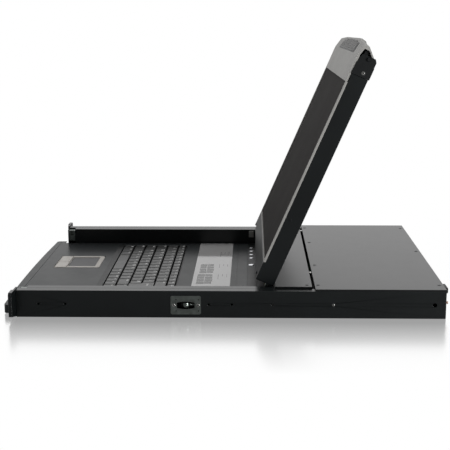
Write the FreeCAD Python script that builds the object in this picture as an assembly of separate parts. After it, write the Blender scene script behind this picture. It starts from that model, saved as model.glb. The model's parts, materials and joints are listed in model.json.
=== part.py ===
import FreeCAD, Part
import math
import os

V = FreeCAD.Vector

# Slide-out rack console with a built-in KVM switch. All sizes are in millimetres.
# +Z is up, -Y is the user's side, +X is the user's right hand.
# The origin is the bottom centre of the whole unit's bounding box.

# --- chassis -------------------------------------------------------------------
BODY_HALF = 216.5         # half width over the two side walls
WALL_FRONT = -283.0       # front end of the side walls
WALL_REAR = 310.0         # outer face of the rear panel
WALL_TOP = 38.4           # top of the side walls' flanges
COVER_TOP = 41.2          # top of the covers
SHEET = 1.2               # sheet steel, flanges and pan
WALL_SHEET = 1.5          # side wall sheet
FLANGE_WIDTH = 13.0       # folded flange of a side wall, seen from above
RAIL_INNER = 190.4        # inner face of each inner rail
PAN_FRONT = -294.0
PAN_HALF_FRONT = 190.0
CENTRE_SHIFT = -3.5       # the drawing zero line sits this far behind the unit's middle

# --- rack ears -------------------------------------------------------------------
EAR_HALF = 241.3          # half of the 482.6 mm front of a 19 inch rack unit
EAR_INSIDE = 190.8
EAR_LINK = 206.0          # the ear steps forward outside of this
EAR_PAD = 222.0           # and is thicker outside of this
EAR_THICK = 5.0
EAR_TOP = 40.6
EAR_CORNER_Z = 7.0        # height of the ear's outer lower corner, its underside slants

# --- deck ----------------------------------------------------------------------
DECK_TOP = 13.4
DECK_SHEET = 1.2
DECK_HALF = 203.0
DECK_FRONT = -295.5          # seam between the deck and the front lip
DECK_REAR = 50.0
DECK_SEAM = 20.2
LIP_SIDE_FRONT = -304.0   # front lip's edge near its ends
LIP_MID_FRONT = -308.0    # front lip's edge at the middle, it is bowed
FIT = 0.3                 # gap round a piece set into an opening

# --- keyboard --------------------------------------------------------------------
KEY_PITCH = 19.05         # row to row
KEY_STEP = 18.6           # key to key along a row
FUNCTION_PITCH = 13.5
KEY_GAP = 1.0
KEY_TAPER = 1.5
KEY_BASE = 10.4
KEY_TOP = 14.6
KEY_TRAVEL = 2.2
KEYS_LEFT = -167.0
KEYS_FRONT = -179.6
PAD_KEYS_LEFT = 115.0
PAD_PITCH = 17.0
WELL = (-170.0, 186.0, -189.5, -69.5)   # keyboard opening: left, right, front, rear
WELL_FLOOR = 5.6
WELL_WALL = 1.0
DOME_SHEET = 1.0
FRAME_TOP = 14.2

# Key widths in units, left to right, for each row of the main block.
FUNCTION_ROW = [1.0] * 15
NUMBER_ROW = [1.0] * 13 + [2.0]
UPPER_ROW = [1.5] + [1.0] * 12
HOME_ROW = [1.75] + [1.0] * 12
LOWER_ROW = [2.25] + [1.0] * 10 + [1.75, 1.0]
BOTTOM_LEFT = [1.25] * 3
SPACE_WIDTH = 5.25
BOTTOM_RIGHT = [1.0] * 6
ENTER_UPPER = 1.5
ENTER_LOWER = 1.25

# --- touchpad --------------------------------------------------------------------
SURROUND = (-89.0, -11.8, -275.5, -202.0)
SURROUND_TOP = 13.8
PAD_WINDOW = (-81.0, -20.0, -254.0, -210.0)
BUTTON_FRONT = -274.0
BUTTON_REAR = -255.5
BUTTON_TRAVEL = 0.8

# --- label and control strips ----------------------------------------------------
LABEL = (-187.5, 187.5, -47.2, 10.6)
LABEL_SHEET = 0.4
STRIP = (-186.5, 186.5, 36.4, 49.4)
OSD_BUTTON_X = [-156.5, -131.5, -106.5, -81.5]
OSD_BUTTON_RADIUS = 4.0
POWER_BUTTON_X = -35.0
POWER_BUTTON_RADIUS = 5.5
STRIP_BUTTON_Y = 42.9
STRIP_BUTTON_PROUD = 0.6
STRIP_BUTTON_TRAVEL = 1.0

# --- display ---------------------------------------------------------------------
HINGE_Y = 66.9
HINGE_Z = 35.7
LCD_LEAN = 66.4           # the open display's rise above the horizontal, degrees
LCD_HALF = 187.0
LCD_THICK = 27.0
HINGE_TO_END = 10.4       # hinge axis to the display's bottom end
LCD_START = -6.5          # bottom end of the display's shell, below the screen's zero line
HINGE_TO_BACK = 5.5       # hinge axis to the plane of the display's back
LCD_SHELL = 1.5
BEZEL_THICK = 3.0
BEZEL_SIDE = 4.0
CHIN = 22.5               # lower edge of the screen
BEZEL_SILL = 2.0          # bezel bar under the screen
NOTCH = (155.0, 182.0)    # hinge notch in the shell's lower end
NOTCH_DEEP = 5.3
SCREEN_END = 293.0
SCREEN_RECESS = 1.5
PANEL_THICK = 10.0
BACK_END = 306.0
HANDLE_SHELL = 2.0
PARTING = 14.8            # depth of the handle shells' parting line
HANDLE_GAP = 0.4
BRACKET_START = 306.2
BRACKET_STEP = 323.0
BRACKET_END = 335.2
BRACKET_THICK = 1.2
GRIP_HALF = 118.0
GRIP_TAPER = 9.0          # each end of the grip is this much shorter along its top
GRIP_FOOT = 331.0    # u where the handle's front begins to slope back
GRIP_THICK = 1.0
CROWN = [(20.0, 356.5), (70.0, 353.5), (125.0, 351.0), (188.0, 347.0)]   # (x, u) top line of the handle
BACK_SLOPE = [(60.0, 364.5), (188.0, 357.5)]   # (x, u + t) of the handle's sloping back edge

# --- hinges ----------------------------------------------------------------------
PIN_RADIUS = 2.5
PIN_CLEARANCE = 0.06
KNUCKLE_RADIUS = 5.0
EAR_INNER = (158.0, 162.0)
EAR_OUTER = (174.0, 178.0)
KNUCKLE = (163.0, 173.0)

# --- catches ---------------------------------------------------------------------
STRIKE = (189.0, 203.0, -281.0, -270.5, 18.0, 36.0)
CATCH_U = 331.5
CATCH_T = 16.5
CATCH_TIP = 190.2
CATCH_NOSE = 2.4
CATCH_TRAVEL = 3.5

# --- covers ----------------------------------------------------------------------
MIDDLE_COVER = (76.0, 127.0)
REAR_COVER = (131.0, 310.0)
COVER_SHEET = 1.4
HEM = 13.0
COVER_SCREWS = [(-15.6, 304.0)]
COVER_SCREWS += [(side * x, y) for side in (-1, 1) for x, y in ((192.6, 136.0), (77.5, 138.0),
                                                              (191.0, 304.0), (192.8, 120.4))]
CLIP_X = [-174.5, 118.0]

# --- side wall holes -------------------------------------------------------------
SLIDE_HOLE_Z = 19.2
SLIDE_HOLE_RADIUS = 1.6
FRONT_HOLES = [-252.0, -214.6]
MIDDLE_HOLES = [-16.0, 16.0]
SCREW_HOLE_Y = 72.0
SIDE_SCREW_Y = 156.0
REAR_HOLE_Y = 294.5
REAR_HOLE_RADIUS = 3.0
LATCH = (-68.5, -26.6, 5.0, 31.5)       # latch plate: front, rear, bottom, top
LATCH_SHEET = 0.8
LATCH_WINDOW_HALF = 12.3
LATCH_WINDOW_HEIGHT = 11.0
LATCH_WINDOW_END = 7.6    # height of the window at its two ends
LATCH_RIM = 1.5
ROLLER_RADIUS = 5.0
ROLLER_TRAVEL = 3.0

# --- rear panel ------------------------------------------------------------------
PANEL_SHEET = 1.5
PORT_PITCH = 32.0
PORT_COUNT = 8
PORT_FIRST_X = -188.0
PORT_Z = 20.0
PORT_END = 315.0
USB_X = [78.0, 96.0]
INLET_X = 137.0
ROCKER_X = 177.0
STUD_X = 201.0
STUD_Z = 19.0
STUD_RADIUS = 2.0


# --- helpers ---------------------------------------------------------------------
def box(x0, x1, y0, y1, z0, z1):
    return Part.makeBox(x1 - x0, y1 - y0, z1 - z0, V(x0, y0, z0))


def prism(points, direction):
    wire = Part.makePolygon(points + [points[0]])
    return Part.Face(wire).extrude(direction)


def prism_x(outline, x0, x1):
    """Extrude a (y, z) outline along X."""
    return prism([V(x0, y, z) for y, z in outline], V(x1 - x0, 0, 0))


def prism_y(outline, y0, y1):
    """Extrude an (x, z) outline along Y."""
    return prism([V(x, y0, z) for x, z in outline], V(0, y1 - y0, 0))


def rod_x(y, z, radius, x0, x1):
    return Part.makeCylinder(radius, x1 - x0, V(x0, y, z), V(1, 0, 0))


def rod_y(x, z, radius, y0, y1):
    return Part.makeCylinder(radius, y1 - y0, V(x, y0, z), V(0, 1, 0))


def rod_z(x, y, radius, z0, z1):
    return Part.makeCylinder(radius, z1 - z0, V(x, y, z0), V(0, 0, 1))


def fused(shapes):
    solid = shapes[0]
    for shape in shapes[1:]:
        solid = solid.fuse(shape)
    return solid.removeSplitter()


def mirrored(shape):
    return shape.mirror(V(0, 0, 0), V(1, 0, 0))


def pair(shape):
    """A right-hand piece and its left-hand mirror, as two separate solids."""
    return Part.makeCompound([shape, mirrored(shape)])


def rounded(shape, radius, direction):
    """Fillet every straight edge that runs along the given direction."""
    edges = []
    for edge in shape.Edges:
        if edge.Curve.TypeId == "Part::GeomLine" and abs(edge.Curve.Direction.dot(direction)) > 0.999:
            edges.append(edge)
    return shape.makeFillet(radius, edges)


def lcd_box(x0, x1, u0, u1, t0, t1):
    """A box in the display's own terms: u from its bottom end, t from its front face."""
    return box(x0, x1, u0 + HINGE_TO_END, u1 + HINGE_TO_END, lcd_w(t1), lcd_w(t0))


def lcd_w(t):
    """Height over the hinge axis, with the display laid face up, of depth t."""
    return LCD_THICK - HINGE_TO_BACK - t


def lcd_prism(outline, x0, x1):
    """Extrude a (u, t) outline along X."""
    return prism_x([(u + HINGE_TO_END, lcd_w(t)) for u, t in outline], x0, x1)


def lcd_placed(shape):
    """Turn a piece laid face up about the hinge axis into the open position."""
    placed = shape.copy()
    placed.rotate(V(0, 0, 0), V(1, 0, 0), LCD_LEAN)
    placed.translate(V(0, HINGE_Y, HINGE_Z))
    return placed


# --- chassis pieces --------------------------------------------------------------
def base_pan():
    inner = BODY_HALF - WALL_SHEET
    floor = box(-inner, inner, WALL_FRONT, WALL_REAR - PANEL_SHEET, 0, SHEET)
    nose = box(-PAN_HALF_FRONT, PAN_HALF_FRONT, PAN_FRONT, WALL_FRONT, 0, SHEET)
    upstand = box(-PAN_HALF_FRONT, PAN_HALF_FRONT, PAN_FRONT, PAN_FRONT + SHEET,
                  SHEET, DECK_TOP - DECK_SHEET)
    return fused([floor, nose, upstand])


def side_wall_right():
    inner = BODY_HALF - WALL_SHEET
    sheet = box(inner, BODY_HALF, WALL_FRONT, WALL_REAR, 0, WALL_TOP)
    flange = box(BODY_HALF - FLANGE_WIDTH, inner, WALL_FRONT, WALL_REAR - PANEL_SHEET,
                 WALL_TOP - SHEET, WALL_TOP)
    wall = fused([sheet, flange])
    for y in FRONT_HOLES + MIDDLE_HOLES + [SCREW_HOLE_Y, SIDE_SCREW_Y]:
        wall = wall.cut(rod_x(y, SLIDE_HOLE_Z, SLIDE_HOLE_RADIUS, inner - 1, BODY_HALF + 1))
    wall = wall.cut(rod_x(REAR_HOLE_Y, SLIDE_HOLE_Z, REAR_HOLE_RADIUS, inner - 1, BODY_HALF + 1))
    window = box(inner - 1, BODY_HALF + 1, latch_y() - LATCH_WINDOW_HALF - 1,
                 latch_y() + LATCH_WINDOW_HALF + 1, latch_z() - LATCH_WINDOW_HEIGHT / 2 - 1,
                 latch_z() + LATCH_WINDOW_HEIGHT / 2 + 1)
    return wall.cut(window)


def inner_rail_right():
    top = WALL_TOP - SHEET
    flange_edge = BODY_HALF - FLANGE_WIDTH
    ledge = box(RAIL_INNER, flange_edge - 0.3, STRIKE[3], MIDDLE_COVER[0] - 0.4, top - SHEET, WALL_TOP)
    tongue = box(flange_edge - 0.3, BODY_HALF - 3.0, STRIKE[3], MIDDLE_COVER[0] - 0.4, top - SHEET, top)
    wall = box(RAIL_INNER, RAIL_INNER + SHEET, STRIKE[3], MIDDLE_COVER[0] - 0.4,
               DECK_TOP, top - SHEET)
    return fused([ledge, tongue, wall])


def latch_y():
    return (LATCH[0] + LATCH[1]) / 2


def latch_z():
    return (LATCH[2] + LATCH[3]) / 2


def bowed_window(half_length, half_end, half_middle, depth):
    """A window with straight ends and outward bowed long edges, cut along X."""
    corner = V(0, half_length, half_end)
    upper = Part.Arc(V(0, -half_length, half_end), V(0, 0, half_middle), corner).toShape()
    low_rear = V(0, half_length, -half_end)
    low_front = V(0, -half_length, -half_end)
    lower = Part.Arc(low_rear, V(0, 0, -half_middle), low_front).toShape()
    right = Part.makeLine(corner, low_rear)
    left = Part.makeLine(low_front, V(0, -half_length, half_end))
    return Part.Face(Part.Wire([upper, right, lower, left])).extrude(V(depth, 0, 0))


def latch_plate_right():
    """Zinc plate with a bowed window and a formed rim round it."""
    plate = box(BODY_HALF, BODY_HALF + LATCH_SHEET, *LATCH)
    plate = rounded(plate, 2.5, V(1, 0, 0))
    half_end = LATCH_WINDOW_END / 2
    half_middle = LATCH_WINDOW_HEIGHT / 2
    rim = bowed_window(LATCH_WINDOW_HALF + LATCH_RIM, half_end + LATCH_RIM, half_middle + LATCH_RIM, 1.6)
    rim.translate(V(BODY_HALF, latch_y(), latch_z()))
    window = bowed_window(LATCH_WINDOW_HALF, half_end, half_middle, 5.0)
    window.translate(V(BODY_HALF - 1, latch_y(), latch_z()))
    return plate.fuse(rim).cut(window)


def latch_roller_right():
    centre_x = BODY_HALF + LATCH_SHEET + 0.5 - ROLLER_RADIUS
    height = LATCH_WINDOW_END - 1.2
    barrel = rod_z(centre_x, latch_y(), ROLLER_RADIUS, latch_z() - height / 2, latch_z() + height / 2)
    carriage = box(centre_x - 9.0, centre_x - 2.0, latch_y() - 7, latch_y() + 7,
                   latch_z() - height / 2, latch_z() + height / 2)
    return fused([barrel, carriage])


def rack_ear_right():
    """Stepped plate that closes the front of a side rail and reaches out to the rack's post."""
    outline = [(EAR_LINK, 1.0), (BODY_HALF, 1.0), (EAR_HALF, EAR_CORNER_Z), (EAR_HALF, EAR_TOP - 3.0),
               (EAR_HALF - 3.0, EAR_TOP), (EAR_LINK, EAR_TOP)]
    step_y = WALL_FRONT - EAR_THICK / 2
    outer = prism_y(outline, step_y, WALL_FRONT - 0.2)
    pad = prism_y([(EAR_PAD, 3.0), (EAR_HALF, EAR_CORNER_Z), (EAR_HALF, EAR_TOP - 3.0),
                   (EAR_HALF - 3.0, EAR_TOP), (EAR_PAD, EAR_TOP)], WALL_FRONT - EAR_THICK, step_y)
    inner = box(EAR_INSIDE, BODY_HALF - WALL_SHEET - 0.2, WALL_FRONT - 0.2, STRIKE[2] - 0.2,
                1.5, WALL_TOP - SHEET - 0.4)
    return fused([outer, pad, inner])


def rear_bumper():
    """Black stop at the right-hand upper rear corner."""
    bumper = box(183.0, 204.0, WALL_REAR, WALL_REAR + 4.0, 33.0, 41.0)
    return rounded(bumper, 1.5, V(1, 0, 0))


def strike_block_right():
    """Metal keeper for a display catch: an entry groove from above, then a deeper hole."""
    block = box(*STRIKE)
    nose_y = HINGE_Y - HINGE_TO_END - CATCH_U
    nose_z = HINGE_Z - LCD_THICK + HINGE_TO_BACK + CATCH_T
    hole = rod_x(nose_y, nose_z, CATCH_NOSE + 0.6, STRIKE[0] - 1, STRIKE[0] + 6.0)
    groove = box(STRIKE[0] - 1, STRIKE[0] + 1.6, nose_y - CATCH_NOSE - 0.6,
                 nose_y + CATCH_NOSE + 0.6, nose_z, STRIKE[5] + 1)
    return block.cut(hole).cut(groove)


def front_lip():
    """Bowed nose moulding along the front of the deck, rounded at both ends."""
    half = DECK_HALF
    corner = 5.0
    left_end = V(-half, DECK_FRONT - 0.6, 1.5)
    left_low = V(-half, LIP_SIDE_FRONT + corner, 1.5)
    left_mid = V(-half + corner * 0.3, LIP_SIDE_FRONT + corner * 0.3, 1.5)
    left_high = V(-half + corner, LIP_SIDE_FRONT, 1.5)
    flip = lambda p: V(-p.x, p.y, p.z)
    edges = [
        Part.LineSegment(flip(left_end), left_end).toShape(),
        Part.LineSegment(left_end, left_low).toShape(),
        Part.Arc(left_low, left_mid, left_high).toShape(),
        Part.Arc(left_high, V(0, LIP_MID_FRONT, 1.5), flip(left_high)).toShape(),
        Part.Arc(flip(left_high), flip(left_mid), flip(left_low)).toShape(),
        Part.LineSegment(flip(left_low), flip(left_end)).toShape(),
    ]
    return Part.Face(Part.Wire(edges)).extrude(V(0, 0, DECK_TOP - 1.5))


def opening(bounds, z0, z1, gap=0.0):
    left, right, front, rear = bounds
    return box(left - gap, right + gap, front - gap, rear + gap, z0, z1)


def deck_plate():
    low = DECK_TOP - DECK_SHEET
    main = box(-DECK_HALF, DECK_HALF, STRIKE[3], DECK_REAR, low, DECK_TOP)
    nose = box(-PAN_HALF_FRONT, PAN_HALF_FRONT, DECK_FRONT, STRIKE[3], low, DECK_TOP)
    ends = box(-DECK_HALF, DECK_HALF, DECK_FRONT, WALL_FRONT - EAR_THICK - FIT, low, DECK_TOP)
    deck = fused([main, nose, ends])
    for bounds in (WELL, SURROUND, STRIP):
        deck = deck.cut(opening(bounds, low - 1, DECK_TOP + 1, FIT))
    seam = box(-DECK_HALF, DECK_HALF, DECK_SEAM - 0.9, DECK_SEAM + 0.9, DECK_TOP - 0.8, DECK_TOP + 1)
    return deck.cut(seam)


# --- keyboard pieces -------------------------------------------------------------
def keyboard_well():
    """Shallow tray that carries the keys, with a raised strip along its front."""
    left, right, front, rear = WELL
    tray = opening(WELL, WELL_FLOOR, DECK_TOP)
    raised = box(left, right, front, KEYS_FRONT - 0.6, WELL_FLOOR, FRAME_TOP)
    hollow = box(left + WELL_WALL, right - WELL_WALL, KEYS_FRONT - 0.6, rear - WELL_WALL,
                 WELL_FLOOR + WELL_WALL, FRAME_TOP + 1)
    return fused([tray, raised]).cut(hollow)


def key_dome_sheet():
    left, right, front, rear = WELL
    low = WELL_FLOOR + WELL_WALL
    return box(left + WELL_WALL + FIT, right - WELL_WALL - FIT, KEYS_FRONT, rear - WELL_WALL - FIT,
               low, low + DOME_SHEET)


def keycap(x0, x1, y0, y1):
    """One tapered keycap in the cell between the given edges."""
    half = KEY_GAP / 2

    def ring(inset, z):
        corners = [(x0 + inset, y0 + inset), (x1 - inset, y0 + inset),
                   (x1 - inset, y1 - inset), (x0 + inset, y1 - inset)]
        points = [V(x, y, z) for x, y in corners]
        return Part.makePolygon(points + [points[0]])

    return Part.makeLoft([ring(half, KEY_BASE), ring(half + KEY_TAPER, KEY_TOP)], True, True)


def row_front(index):
    """Front edge of a key row, counted from the user's side."""
    return KEYS_FRONT + index * KEY_PITCH


def row_keys(widths, index, start_units=0.0, depth=KEY_PITCH):
    keys = []
    x = KEYS_LEFT + start_units * KEY_STEP
    for width in widths:
        keys.append(keycap(x, x + width * KEY_STEP, row_front(index), row_front(index) + depth))
        x += width * KEY_STEP
    return keys


def pad_keys(widths, index, depth=KEY_PITCH):
    keys = []
    x = PAD_KEYS_LEFT
    for width in widths:
        keys.append(keycap(x, x + width * PAD_PITCH, row_front(index), row_front(index) + depth))
        x += width * PAD_PITCH
    return keys


def enter_key():
    """Two-row key, wider in its upper row."""
    right = KEYS_LEFT + 15 * KEY_STEP
    split = row_front(3)
    upper = box(right - ENTER_UPPER * KEY_STEP + 0.5, right - 0.5, split - 2.0,
                row_front(4) - 0.5, KEY_BASE, KEY_TOP)
    lower = box(right - ENTER_LOWER * KEY_STEP + 0.5, right - 0.5, row_front(2) + 0.5,
                split, KEY_BASE, KEY_TOP)
    upper = upper.cut(box(right - ENTER_UPPER * KEY_STEP, right - ENTER_LOWER * KEY_STEP + 0.5,
                          split - 2.5, split + 0.5, KEY_BASE - 1, KEY_TOP + 1))
    return fused([upper, lower])


def key_row(name):
    rows = {
        "function": row_keys(FUNCTION_ROW, 5, 0, FUNCTION_PITCH) + pad_keys([1] * 4, 5, FUNCTION_PITCH),
        "number": row_keys(NUMBER_ROW, 4) + pad_keys([1] * 4, 4),
        "upper": row_keys(UPPER_ROW, 3) + pad_keys([1] * 4, 3),
        "home": row_keys(HOME_ROW, 2) + [enter_key()] + pad_keys([1] * 4, 2),
        "lower": row_keys(LOWER_ROW, 1) + pad_keys([1] * 4, 1),
        "bottom": (row_keys(BOTTOM_LEFT, 0)
                   + row_keys(BOTTOM_RIGHT, 0, sum(BOTTOM_LEFT) + SPACE_WIDTH)
                   + pad_keys([2, 1, 1], 0)),
    }
    return Part.makeCompound(rows[name])


def space_bar():
    return row_keys([SPACE_WIDTH], 0, sum(BOTTOM_LEFT))[0]


# --- touchpad pieces -------------------------------------------------------------
def touchpad_surround():
    plate = opening(SURROUND, DECK_TOP - DECK_SHEET, SURROUND_TOP)
    left, right, front, rear = SURROUND
    rear_edges = [edge for edge in plate.Edges
                  if abs(edge.CenterOfMass.y - rear) < 0.01 and edge.Length < 5.0]
    plate = plate.makeFillet(7.0, rear_edges)
    plate = plate.cut(opening(PAD_WINDOW, 0, 20))
    return plate.cut(box(left + 1.5, right - 1.5, BUTTON_FRONT, BUTTON_REAR, 0, 20))


def touchpad_pad():
    """Touch module: the sensing face in its window and the board under it."""
    face = opening(PAD_WINDOW, DECK_TOP - 4.0, DECK_TOP - 0.6, -FIT)
    board = box(SURROUND[0] + 3, SURROUND[1] - 3, BUTTON_FRONT + 1, PAD_WINDOW[3] - 2,
                DECK_TOP - 5.4, DECK_TOP - 4.0)
    return fused([face, board])


def touch_button(side):
    middle = (SURROUND[0] + SURROUND[1]) / 2
    if side < 0:
        x0, x1 = SURROUND[0] + 1.5 + FIT, middle - 0.3
    else:
        x0, x1 = middle + 0.3, SURROUND[1] - 1.5 - FIT
    return box(x0, x1, BUTTON_FRONT + FIT, BUTTON_REAR - FIT, DECK_TOP - 2.4, SURROUND_TOP + 0.2)


# --- strips ----------------------------------------------------------------------
def label_strip():
    return opening(LABEL, DECK_TOP, DECK_TOP + LABEL_SHEET)


def control_strip():
    strip = opening(STRIP, DECK_TOP - 2.0, DECK_TOP)
    for x in OSD_BUTTON_X:
        strip = strip.cut(rod_z(x, STRIP_BUTTON_Y, OSD_BUTTON_RADIUS + FIT, 0, 20))
    return strip.cut(rod_z(POWER_BUTTON_X, STRIP_BUTTON_Y, POWER_BUTTON_RADIUS + FIT, 0, 20))


def strip_button(x, radius):
    cap = rod_z(x, STRIP_BUTTON_Y, radius, DECK_TOP - 4.0, DECK_TOP + STRIP_BUTTON_PROUD)
    return cap.makeChamfer(0.4, [cap.Edges[0]])


# --- hinge pieces ----------------------------------------------------------------
def hinge_ear(span):
    x0, x1 = span
    web = prism_x([(HINGE_Y - 8.0, DECK_TOP), (HINGE_Y + 8.0, DECK_TOP),
                   (HINGE_Y + KNUCKLE_RADIUS, HINGE_Z), (HINGE_Y - KNUCKLE_RADIUS, HINGE_Z)], x0, x1)
    return fused([web, rod_x(HINGE_Y, HINGE_Z, KNUCKLE_RADIUS, x0, x1)])


def hinge_bracket_right():
    foot = box(150.0, 186.0, DECK_REAR + FIT, MIDDLE_COVER[0] - 0.4, DECK_TOP - DECK_SHEET, DECK_TOP)
    bracket = fused([foot, hinge_ear(EAR_INNER), hinge_ear(EAR_OUTER)])
    return bracket.cut(rod_x(HINGE_Y, HINGE_Z, PIN_RADIUS, 150.0, 186.0))


def hinge_pin_right():
    return rod_x(HINGE_Y, HINGE_Z, PIN_RADIUS, EAR_INNER[0] - 2.0, EAR_OUTER[1] + 3.0)


def hinge_arm_right():
    """Cranked arm that carries the display: a knuckle, a web and a leaf inside the shell."""
    knuckle = rod_x(0, 0, KNUCKLE_RADIUS, *KNUCKLE)
    inner_back = LCD_THICK - LCD_SHELL
    web = lcd_prism([(-HINGE_TO_END - 2.0, 16.5), (3.0, 8.0), (8.0, 8.0), (8.0, inner_back),
                     (-HINGE_TO_END, inner_back - 0.5)], *KNUCKLE)
    leaf = lcd_box(150.0, 180.0, 3.0, 60.0, inner_back - 2.5, inner_back)
    arm = fused([knuckle, web, leaf])
    arm = arm.cut(rod_x(0, 0, PIN_RADIUS + PIN_CLEARANCE, 150.0, 186.0))
    return lcd_placed(arm)


def hinge_support_right():
    return box(188.2, RAIL_INNER, 38.0, 46.0, 25.0, 36.0)


# --- covers ----------------------------------------------------------------------
def middle_cover():
    front, rear = MIDDLE_COVER
    half = BODY_HALF - FLANGE_WIDTH - 0.5
    top = box(-half, half, front, rear, COVER_TOP - COVER_SHEET, COVER_TOP)
    front_wall = box(-half, half, front, front + COVER_SHEET, DECK_TOP, COVER_TOP - COVER_SHEET)
    side = box(half - COVER_SHEET, half, front, rear, SHEET, COVER_TOP - COVER_SHEET)
    return fused([top, front_wall, side, mirrored(side)])


def rear_cover():
    front, rear = REAR_COVER
    low = COVER_TOP - COVER_SHEET
    top = box(-BODY_HALF, BODY_HALF, front, rear, low, COVER_TOP)
    hem = box(BODY_HALF - HEM, BODY_HALF, front, rear, WALL_TOP, low)
    front_fold = box(-BODY_HALF + HEM, BODY_HALF - HEM, front, front + COVER_SHEET, 20.0, low)
    return fused([top, hem, mirrored(hem), front_fold])


def cover_screws():
    """Low black cover screws and the two bright clips that bridge the gap between the covers."""
    heads = []
    for x, y in COVER_SCREWS:
        head = rod_z(x, y, 2.6, COVER_TOP, COVER_TOP + 0.5)
        heads.append(head.cut(rod_z(x, y, 1.0, COVER_TOP + 0.2, COVER_TOP + 1)))
    for x in CLIP_X:
        heads.append(box(x - 3.5, x + 3.5, MIDDLE_COVER[1] + 0.2, REAR_COVER[0] - 0.2, 36.0, 40.4))
    return Part.makeCompound(heads)


def side_screws():
    """One countersunk screw in the side wall and the two that hold the latch plate."""
    head = Part.makeCone(2.6, 1.9, 0.5, V(BODY_HALF, SIDE_SCREW_Y, SLIDE_HOLE_Z), V(1, 0, 0))
    shank = rod_x(SIDE_SCREW_Y, SLIDE_HOLE_Z, 1.5, BODY_HALF - 6.0, BODY_HALF)
    screws = [fused([head, shank])]
    for y in (LATCH[0] + 4.2, LATCH[1] - 4.2):
        screws.append(rod_x(y, latch_z(), 2.4, BODY_HALF + LATCH_SHEET, BODY_HALF + LATCH_SHEET + 0.7))
    screws += [mirrored(screw) for screw in screws]
    return Part.makeCompound(screws)


# --- rear panel and its fittings -------------------------------------------------
def d_outline(x, z, half_wide, half_narrow, half_height):
    """D-shaped outline, wider along its upper side."""
    return [(x - half_wide, z + half_height), (x + half_wide, z + half_height),
            (x + half_narrow, z - half_height), (x - half_narrow, z - half_height)]


def port_positions():
    return [PORT_FIRST_X + PORT_PITCH * index for index in range(PORT_COUNT)]


def rear_panel():
    front = WALL_REAR - PANEL_SHEET
    half = BODY_HALF - WALL_SHEET
    panel = box(-half, half, front, WALL_REAR, 0, WALL_TOP)
    for x in port_positions():
        panel = panel.cut(prism_y(d_outline(x, PORT_Z, 9.0, 8.0, 4.7), front - 1, WALL_REAR + 1))
        for dx in (-12.5, 12.5):
            panel = panel.cut(rod_y(x + dx, PORT_Z, 1.8, front - 1, WALL_REAR + 1))
    for x in USB_X:
        panel = panel.cut(box(x - 6.9, x + 6.9, front - 1, WALL_REAR + 1, PORT_Z - 3.4, PORT_Z + 3.4))
    panel = panel.cut(box(INLET_X - 14, INLET_X + 14, front - 1, WALL_REAR + 1, 9.8, 30.2))
    panel = panel.cut(box(ROCKER_X - 9, ROCKER_X + 9, front - 1, WALL_REAR + 1, 8.5, 31.5))
    return panel.cut(rod_y(STUD_X, STUD_Z, STUD_RADIUS + 0.1, front - 1, WALL_REAR + 1))


def video_port(x):
    body = box(x - 15.0, x + 15.0, 296.0, WALL_REAR - PANEL_SHEET, PORT_Z - 6.0, PORT_Z + 6.0)
    shell = prism_y(d_outline(x, PORT_Z, 8.6, 7.6, 4.2), WALL_REAR - PANEL_SHEET, PORT_END)
    pieces = [body, shell]
    for dx in (-12.5, 12.5):
        pieces.append(rod_y(x + dx, PORT_Z, 1.6, WALL_REAR - PANEL_SHEET, WALL_REAR))
        nut = rod_y(x + dx, PORT_Z, 2.5, WALL_REAR, PORT_END)
        pieces.append(nut.cut(rod_y(x + dx, PORT_Z, 1.4, WALL_REAR + 1, PORT_END + 1)))
    port = fused(pieces)
    for row in (-1, 0, 1):
        for column in range(5):
            pin_x = x + (column - 2) * 2.3
            port = port.cut(box(pin_x - 0.4, pin_x + 0.4, PORT_END - 2, PORT_END + 1,
                                PORT_Z + row * 2.1 - 0.4, PORT_Z + row * 2.1 + 0.4))
    return port


def usb_port(x):
    body = box(x - 6.6, x + 6.6, 296.0, WALL_REAR + 0.8, PORT_Z - 3.1, PORT_Z + 3.1)
    mouth = box(x - 6.0, x + 6.0, 300.0, WALL_REAR + 2, PORT_Z - 2.3, PORT_Z + 2.3)
    tongue = box(x - 5.6, x + 5.6, 300.0, WALL_REAR, PORT_Z - 0.1, PORT_Z + 1.7)
    return fused([body.cut(mouth), tongue])


def power_inlet():
    flange = box(INLET_X - 15.5, INLET_X + 15.5, WALL_REAR, WALL_REAR + 2.0, 8.6, 31.4)
    flange = rounded(flange, 3.0, V(0, 1, 0))
    body = box(INLET_X - 13.6, INLET_X + 13.6, 290.0, WALL_REAR, 10.2, 29.8)
    inlet = fused([flange, body]).cut(box(INLET_X - 12.2, INLET_X + 12.2, 295.0, 320.0, 11.6, 28.4))
    pins = []
    for dx, dz in ((-7.0, -1.5), (7.0, -1.5), (0.0, 2.5)):
        pins.append(box(INLET_X + dx - 1.0, INLET_X + dx + 1.0, 294.0, 306.0,
                        PORT_Z + dz - 2.0, PORT_Z + dz + 2.0))
    frame = box(ROCKER_X - 10.5, ROCKER_X + 10.5, WALL_REAR, WALL_REAR + 1.6, 7.4, 32.6)
    sleeve = box(ROCKER_X - 8.7, ROCKER_X + 8.7, 296.0, WALL_REAR, 8.8, 31.2)
    bezel = fused([frame, sleeve]).cut(box(ROCKER_X - 7.2, ROCKER_X + 7.2, 298.0, 320.0, 9.9, 30.1))
    return Part.makeCompound([fused([inlet] + pins), bezel])


def power_rocker():
    """Two-faced switch rocker; its pivot is a round boss in the middle."""
    outline = [(303.5, 14.0), (311.2, 11.2), (311.6, 20.0), (314.2, 28.2), (303.5, 26.0)]
    boss = rod_x(307.0, PORT_Z, 3.0, ROCKER_X - 6.6, ROCKER_X + 6.6)
    return fused([prism_x(outline, ROCKER_X - 6.6, ROCKER_X + 6.6), boss])


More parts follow.
